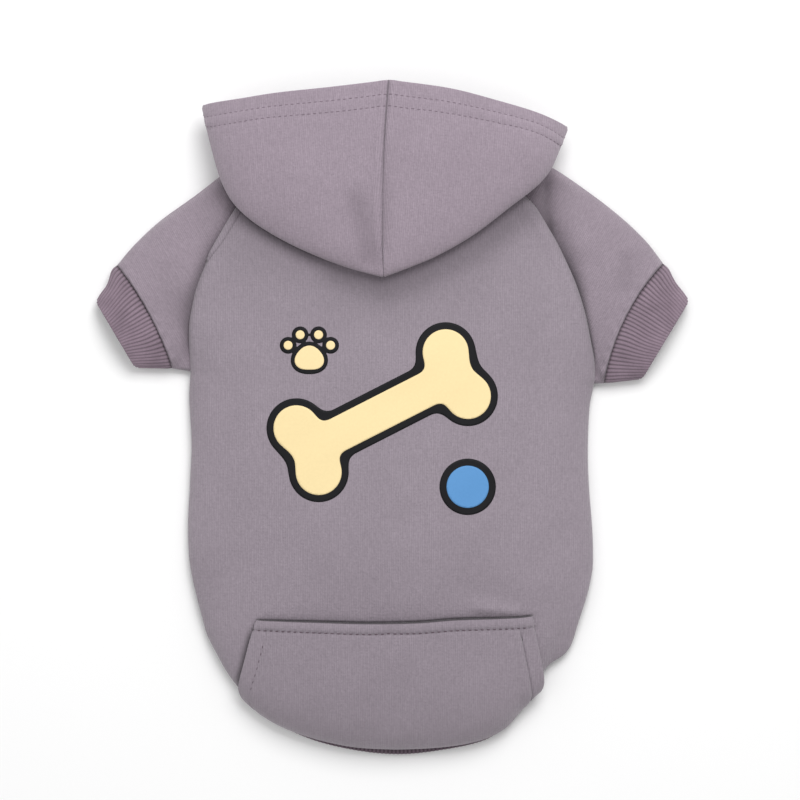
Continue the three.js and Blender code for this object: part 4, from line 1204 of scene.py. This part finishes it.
def add_hood(side, sign):
    """Half of the hood, with two stitched furrows along its face hem and a sunken centre seam."""
    grid = hood_grid(side, sign, HOOD_PER_STATION, HOOD_PER_ROW)
    out = -sign
    from_face, from_seam = edge_distance(grid, 0, True), edge_distance(grid, 1)
    x, y = grid[..., 0], grid[..., 1]
    rows, columns = np.arange(grid.shape[0])[:, None], np.arange(grid.shape[1])[None, :]
    on_top = ease((rows - FOLD_STATION * HOOD_PER_ROW) / (2 * HOOD_PER_ROW))
    before_corner = ease((HOOD_CORNER * HOOD_PER_STATION - columns) / HOOD_PER_STATION)
    above_throat = ease((HOOD_CORNER + 1 - columns / HOOD_PER_STATION) / 2)
    above_tip = ease((y - HOOD_TIP_SHOWN) / 8)
    height = uneven(grid, (0.35, 60, 12 + sign), (0.1, 24, 15 + sign))
    height -= 0.35 * before_corner * sum(bell(from_face, furrow, 0.7) for furrow in HOOD_HEM)
    height += 0.3 * before_corner * bell(from_face, sum(HOOD_HEM) / 2, 2.6)
    height += above_tip * (0.9 * bell(from_seam, 3.2, 2.2) - 1.3 * bell(from_seam, 0, 1.0))
    # Painted shade along the sunken centre seam, in the left half's dent and beside the seam on the right
    # half
    seam_shade = 0.35 + 0.6 * ease((y - HOOD_SEAM_TOP) / 8)
    shade = 1 - seam_shade * bell(from_seam, 0, 0.7) * on_top * above_tip
    if side == "left":
        dent = fold_line(x, y, *HOOD_DENT)
        height -= 1.4 * dent
        shade = shade - 0.2 * dent * on_top
    else:
        shade = shade - 0.14 * bell(from_seam, 2, 3.5) * bell(y, 92, 22) * on_top
    grid = raised(grid, out, False, height * on_top * above_throat)
    return cloth("hood_cloth_" + side, grid, WALL, out, False, hood_knit, plan_pattern(grid, 4 * sign), shade)


def add_hood_stitches(side, outer):
    """Two rows of stitches in the furrows of the face hem."""
    columns = np.arange(1, HOOD_CORNER * HOOD_PER_STATION - 3)
    for number, distance in enumerate(HOOD_HEM, 1):
        path = inset_line(outer, distance, columns)
        stitches(f"hood_hem_stitches_{side}_{number}", path, hem_thread, 3.2, 2.0, 0.55, -0.02)


POCKET_HEM = 6.3
POCKET_SIDE_HEM = 8.2
POCKET_STRIP = 8.3
POCKET_STITCH = 3.5


def pocket_point(h, g):
    """Follows the lower back at a distance, with a slack mouth on top.

    The lower left corner is rounded off, and the lower right one stands out."""
    left = mix(POCKET["top_left"], POCKET["foot_left"], h ** POCKET_SIDE_BEND)
    left = left - POCKET_CORNER_TURN * h ** POCKET_CORNER_ROUNDNESS
    right = mix(POCKET["top_right"], POCKET["foot_right"], h)
    turn = mix(left, right, g) * np.pi
    mouth = mix(POCKET["depth"], POCKET["depth"] - POCKET["rise"], np.sin(np.pi * g))
    w = np.sin(mix(np.arcsin(mouth), np.pi / 2, h))
    small = 1e-3
    middle = hem_point(turn, w)
    across = hem_point(turn - small, w) - hem_point(turn + small, w)
    down = middle - hem_point(turn, w - small)
    away = unit(np.cross(down, across))
    slack = POCKET_BULGE * np.sin(np.pi * g) ** POCKET_SLACK_BEND
    slack = slack * np.maximum(0, 1 - h / POCKET_SLACK_END) ** POCKET_SLACK_FADE
    place = middle + away * (WALL + POCKET_GAP + slack)[..., None]
    corner = ease((g - POCKET_FLARE_START) / (1 - POCKET_FLARE_START))
    place[..., 0] += POCKET_FLARE_OUT * np.sin(np.pi * h) * corner
    place[..., 1] -= POCKET_FLARE_DOWN * h * h * corner
    place[..., 1] += read(POCKET_RISE, "across", "up", g) * (1 - ease(h / POCKET_RISE_END))
    return place


def add_pocket():
    """The pocket: a stitched top hem that puckers, a stitched left edge and a folded right edge."""
    grid = pocket_point(*even_grid(110, 200))
    from_top = edge_distance(grid, 0)
    from_left, from_right = edge_distance(grid, 1), edge_distance(grid, 1, True)
    height = uneven(grid, (0.3, 48, 21), (0.1, 20, 22))
    pucker = 0.5 + 0.5 * np.cos(2 * np.pi * from_left / POCKET_STITCH)
    furrow = bell(from_top, POCKET_HEM, 0.9)
    height += 0.45 * bell(from_top, POCKET_HEM / 2, 2.4) - (0.4 + 0.35 * pucker) * furrow
    height -= 0.45 * bell(from_left, POCKET_SIDE_HEM, 0.8) * ease(from_top / 8)
    below_hem = ease((from_top - 5) / 6)
    off_strip = from_right - POCKET_STRIP
    height -= below_hem * (0.9 * (1 - ease((off_strip + 0.4) / 1.5)) + 0.7 * bell(off_strip, 0.5, 0.8))
    height += below_hem * 0.35 * (bell(from_right, 1, 0.8) + bell(off_strip, -0.9, 0.7))
    # Painted shade under the mouth's rim, in the puckered furrow of the top hem and beside the folded right
    # strip
    painted_furrow_shade = furrow * (0.15 + 0.3 * pucker)
    shade = 1 - 0.95 * bell(from_top, 0, 0.4) - painted_furrow_shade - 0.3 * below_hem * bell(off_strip, 0, 0.6)
    grid = raised(grid, 1, False, height)
    return cloth("pocket_cloth", grid, WALL, 1, False, pocket_knit, plan_pattern(grid), np.maximum(shade, 0))


def add_pocket_stitches(outer):
    """A row of stitches in the furrow of the top hem, and a finer one along the left edge."""
    path = inset_line(outer[::-1], POCKET_HEM, np.arange(3, outer.shape[1] - 5))
    stitches("pocket_top_stitches", path, pocket_thread, POCKET_STITCH, 1.9, 0.8)
    sideways = outer.transpose(1, 0, 2)[::-1]
    path = inset_line(sideways, POCKET_SIDE_HEM, np.arange(16, outer.shape[0] - 36))
    stitches("pocket_left_stitches", path, pocket_thread, 4.2, 1.8, 0.5)


# The print: a bone, a ball and a paw


def circle(x, y, cx, cy, radius):
    """Distance outside a circle."""
    return np.hypot(x - cx, y - cy) - radius


def bar(x, y, start, end, radius):
    """Distance outside a bar with round ends."""
    (ax, ay), (bx, by) = start, end
    t = np.clip(((x - ax) * (bx - ax) + (y - ay) * (by - ay)) / ((bx - ax) ** 2 + (by - ay) ** 2), 0, 1)
    return np.hypot(x - ax - t * (bx - ax), y - ay - t * (by - ay)) - radius


def melted(first, second, radius):
    """Joins two shapes' distances with a fillet of the given radius."""
    blend = np.maximum(radius - np.abs(first - second), 0) / radius
    return np.minimum(first, second) - blend ** 2 * radius / 4


BONE = dict(centre=(-6.0, -20.0), turn=27.0, half=44.0, shaft=13.5, knob=16.5, spread=13.5, out=2.0, fillet=7)
BALL = dict(centre=(41.0, -61.0), radius=15.5)
PAW = dict(centre=(-46.0, 11.0), pad=9.5, toe=4.6, reach=13.5, toe_turns=(150, 112, 68, 30), fillet=8)
OUTLINE, PAW_OUTLINE = 3.9, 0.55
OUTLINE_LIFT, FILL_LIFT = 0.12, 0.3


def bone_distance(x, y):
    """A shaft with two round knobs at each end, all melted together."""
    a = np.radians(BONE["turn"])
    dx, dy = x - BONE["centre"][0], y - BONE["centre"][1]
    u, v = dx * np.cos(a) + dy * np.sin(a), dy * np.cos(a) - dx * np.sin(a)
    shape = bar(u, v, (-BONE["half"], 0), (BONE["half"], 0), BONE["shaft"])
    for end in (-1, 1):
        for edge in (-1, 1):
            knob = circle(u, v, end * BONE["half"] + end * BONE["out"], edge * BONE["spread"], BONE["knob"])
            shape = melted(shape, knob, BONE["fillet"])
    return shape


def ball_distance(x, y):
    """A plain round ball."""
    return circle(x, y, *BALL["centre"], BALL["radius"])


def paw_distance(x, y):
    """A rounded pad under four toes set on an arc."""
    cx, cy = PAW["centre"]
    lobe = PAW["pad"] * 0.62
    left, right = (circle(x, y, cx + across, cy - 3.0, lobe) for across in (-4.0, 4.0))
    shape = melted(melted(left, right, PAW["fillet"]), circle(x, y, cx, cy + 1.0, lobe), PAW["fillet"])
    for degrees in PAW["toe_turns"]:
        a = np.radians(degrees)
        toe = circle(x, y, cx + PAW["reach"] * np.cos(a), cy - 1 + PAW["reach"] * np.sin(a), PAW["toe"])
        shape = np.minimum(shape, toe)
    return shape


PRINT_BOX = ((-80, 68), (-86, 36))
PRINT_BASE = 0.3


def stamp(name, distance, lift, finish, heights, cell=0.7):
    """A thin print: the cells of a fine grid inside a shape, with the outer ones drawn onto its outline.

    distance is below 0 inside. Each corner lies lift above the cloth under it."""
    (x0, x1), (y0, y1) = PRINT_BOX
    x, y = np.meshgrid(np.arange(x0, x1, cell), np.arange(y0, y1, cell))
    inside = distance(x, y) < 0.35 * cell
    cells = corners(inside).all(-1)
    neighbours = np.zeros(inside.shape, int)
    for part in (np.s_[:-1, :-1], np.s_[1:, :-1], np.s_[1:, 1:], np.s_[:-1, 1:]):
        neighbours[part] += cells
    used = neighbours > 0
    outermost = used & (neighbours < 4)
    step = 0.05
    for _ in range(3):
        d = distance(x, y)
        gx = (distance(x + step, y) - distance(x - step, y)) / (2 * step)
        gy = (distance(x, y + step) - distance(x, y - step)) / (2 * step)
        size = np.maximum(gx ** 2 + gy ** 2, 0.25)
        x, y = np.where(outermost, x - d * gx / size, x), np.where(outermost, y - d * gy / size, y)
    ids = np.full(inside.shape, -1)
    ids[used] = np.arange(used.sum())
    quads = corners(ids)[cells]
    z = heights(x[used], y[used]) + lift
    top = np.stack([x[used], y[used], z], -1)
    base = top - [0, 0, lift + PRINT_BASE]
    count = len(top)
    edges = np.concatenate([quads[:, [k, (k + 1) % 4]] for k in range(4)])
    forward, backward = edges[:, 0] * count + edges[:, 1], edges[:, 1] * count + edges[:, 0]
    border = edges[~np.isin(forward, backward)]
    walls = np.stack([border[:, 1], border[:, 0], border[:, 0] + count, border[:, 1] + count], -1)
    faces = [np.concatenate([quads, quads[:, ::-1] + count, walls])]
    return put_mesh(name, np.concatenate([top, base]), faces, finish)


def height_reader(outer):
    """Reads the height of the back's face over any place, from a copy of it on even rows and columns."""
    xs, ys = np.arange(-90, 90.5, 1.0), np.arange(-110, 60.5, 1.0)
    lines = outer[::-1, 20:-20]
    y_rows, z_rows = (np.array([np.interp(xs, line[:, 0], line[:, k]) for line in lines]) for k in (1, 2))
    heights = np.array([np.interp(ys, y_rows[:, c], z_rows[:, c]) for c in range(len(xs))]).T

    def read_height(x, y):
        u, v = np.clip(x - xs[0], 0, len(xs) - 1.001), np.clip(y - ys[0], 0, len(ys) - 1.001)
        i, j = u.astype(int), v.astype(int)
        a, b = u - i, v - j
        low = mix(heights[j, i], heights[j, i + 1], a)
        return mix(low, mix(heights[j + 1, i], heights[j + 1, i + 1], a), b)

    return read_height


def print_distance(x, y):
    """The nearest of the three shapes."""
    return np.minimum(np.minimum(bone_distance(x, y), ball_distance(x, y)), paw_distance(x, y))


def bone_fill(x, y):
    """The bone drawn in by its outline, less the ball."""
    return np.maximum(bone_distance(x, y) + OUTLINE, -ball_distance(x, y))


def ball_fill(x, y):
    """The ball drawn in by its outline."""
    return ball_distance(x, y) + OUTLINE


def paw_fill(x, y):
    """The paw drawn in by a thinner outline."""
    return paw_distance(x, y) + OUTLINE * PAW_OUTLINE


def add_print(heights):
    """A black shape under the whole print shows as the outline round the coloured fills."""
    cream = print_ink("cream_ink", scaled(srgb(253, 230, 176), 0.92))
    black = print_ink("black_ink", srgb(9, 9, 14))
    blue = print_ink("blue_ink", scaled(srgb(95, 152, 208), 0.95))
    stamp("print_outline", print_distance, OUTLINE_LIFT, black, heights)
    stamp("print_bone", bone_fill, FILL_LIFT, cream, heights)
    stamp("print_ball", ball_fill, FILL_LIFT, blue, heights)
    stamp("print_paw", paw_fill, FILL_LIFT, cream, heights, 0.5)


FLOOR_HALF = 6.0
FLOOR_SINK = 0.0004
LAMPS = (("key", (0.3, 1.05, 1.4), 1.0, 21), ("fill", (-0.7, 0.0, 1.6), 1.6, 4))
SENSOR = 36
VIEW_WIDTH, VIEW_CENTRE, VIEW_HEIGHT = 0.44, (0.0041, 0.0098), 2.6
CLOTH_TOP = 0.02


def add_stage():
    """A pale floor under the cloth, soft light from above and the upper right, and a camera overhead."""
    mesh = bpy.data.meshes.new("floor")
    signs = ((-1, -1), (1, -1), (1, 1), (-1, 1))
    mesh.from_pydata([(FLOOR_HALF * a, FLOOR_HALF * b, 0) for a, b in signs], [], [(0, 1, 2, 3)])
    floor = bpy.data.objects.new("floor", mesh)
    floor.location.z = -FLOOR_SINK
    paint = Nodes("floor_paper")
    mesh.materials.append(paint.finish({"Base Color": (0.95, 0.95, 0.95, 1), "Roughness": 0.9}))
    bpy.context.collection.objects.link(floor)
    world = bpy.data.worlds.new("soft_sky")
    world.use_nodes = True
    sky = world.node_tree.nodes["Background"]
    sky.inputs["Color"].default_value = (1, 1, 1, 1)
    sky.inputs["Strength"].default_value = 0.55
    bpy.context.scene.world = world
    for name, place, wide, power in LAMPS:
        light = bpy.data.lights.new(name, "AREA")
        light.size, light.energy = wide, power
        lamp = bpy.data.objects.new(name, light)
        lamp.location = place
        lamp.rotation_euler = (Vector((0, 0, 0)) - Vector(place)).to_track_quat("-Z", "Y").to_euler()
        bpy.context.collection.objects.link(lamp)
    lens = bpy.data.cameras.new("camera")
    lens.sensor_width = SENSOR
    lens.lens = SENSOR * (VIEW_HEIGHT - CLOTH_TOP) / VIEW_WIDTH
    camera = bpy.data.objects.new("camera", lens)
    camera.location = (*VIEW_CENTRE, VIEW_HEIGHT)
    bpy.context.collection.objects.link(camera)
    bpy.context.scene.camera = camera
    bpy.context.scene.view_settings.view_transform = "Standard"


add_stage()
back, back_face = add_back()
belly, _ = add_belly()
sleeve_left, _ = add_sleeve("left", -1)
sleeve_right, _ = add_sleeve("right", 1)
cuff_left, _ = add_cuff("left", -1, 1.0)
cuff_right, _ = add_cuff("right", 1, 0.6)
waistband, _ = add_waistband()
hood_left, hood_left_face = add_hood("left", -1)
hood_right, hood_right_face = add_hood("right", 1)
pocket, pocket_face = add_pocket()
add_hood_stitches("left", hood_left_face)
add_hood_stitches("right", hood_right_face)
add_pocket_stitches(pocket_face)
add_print(height_reader(back_face))

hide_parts("back_panel")
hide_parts("belly_panel")
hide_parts("sleeve_left")
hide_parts("sleeve_right")
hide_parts("cuff_left")
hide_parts("cuff_right")
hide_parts("waistband")
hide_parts("hood_left")
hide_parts("hood_right")
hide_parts("pocket")
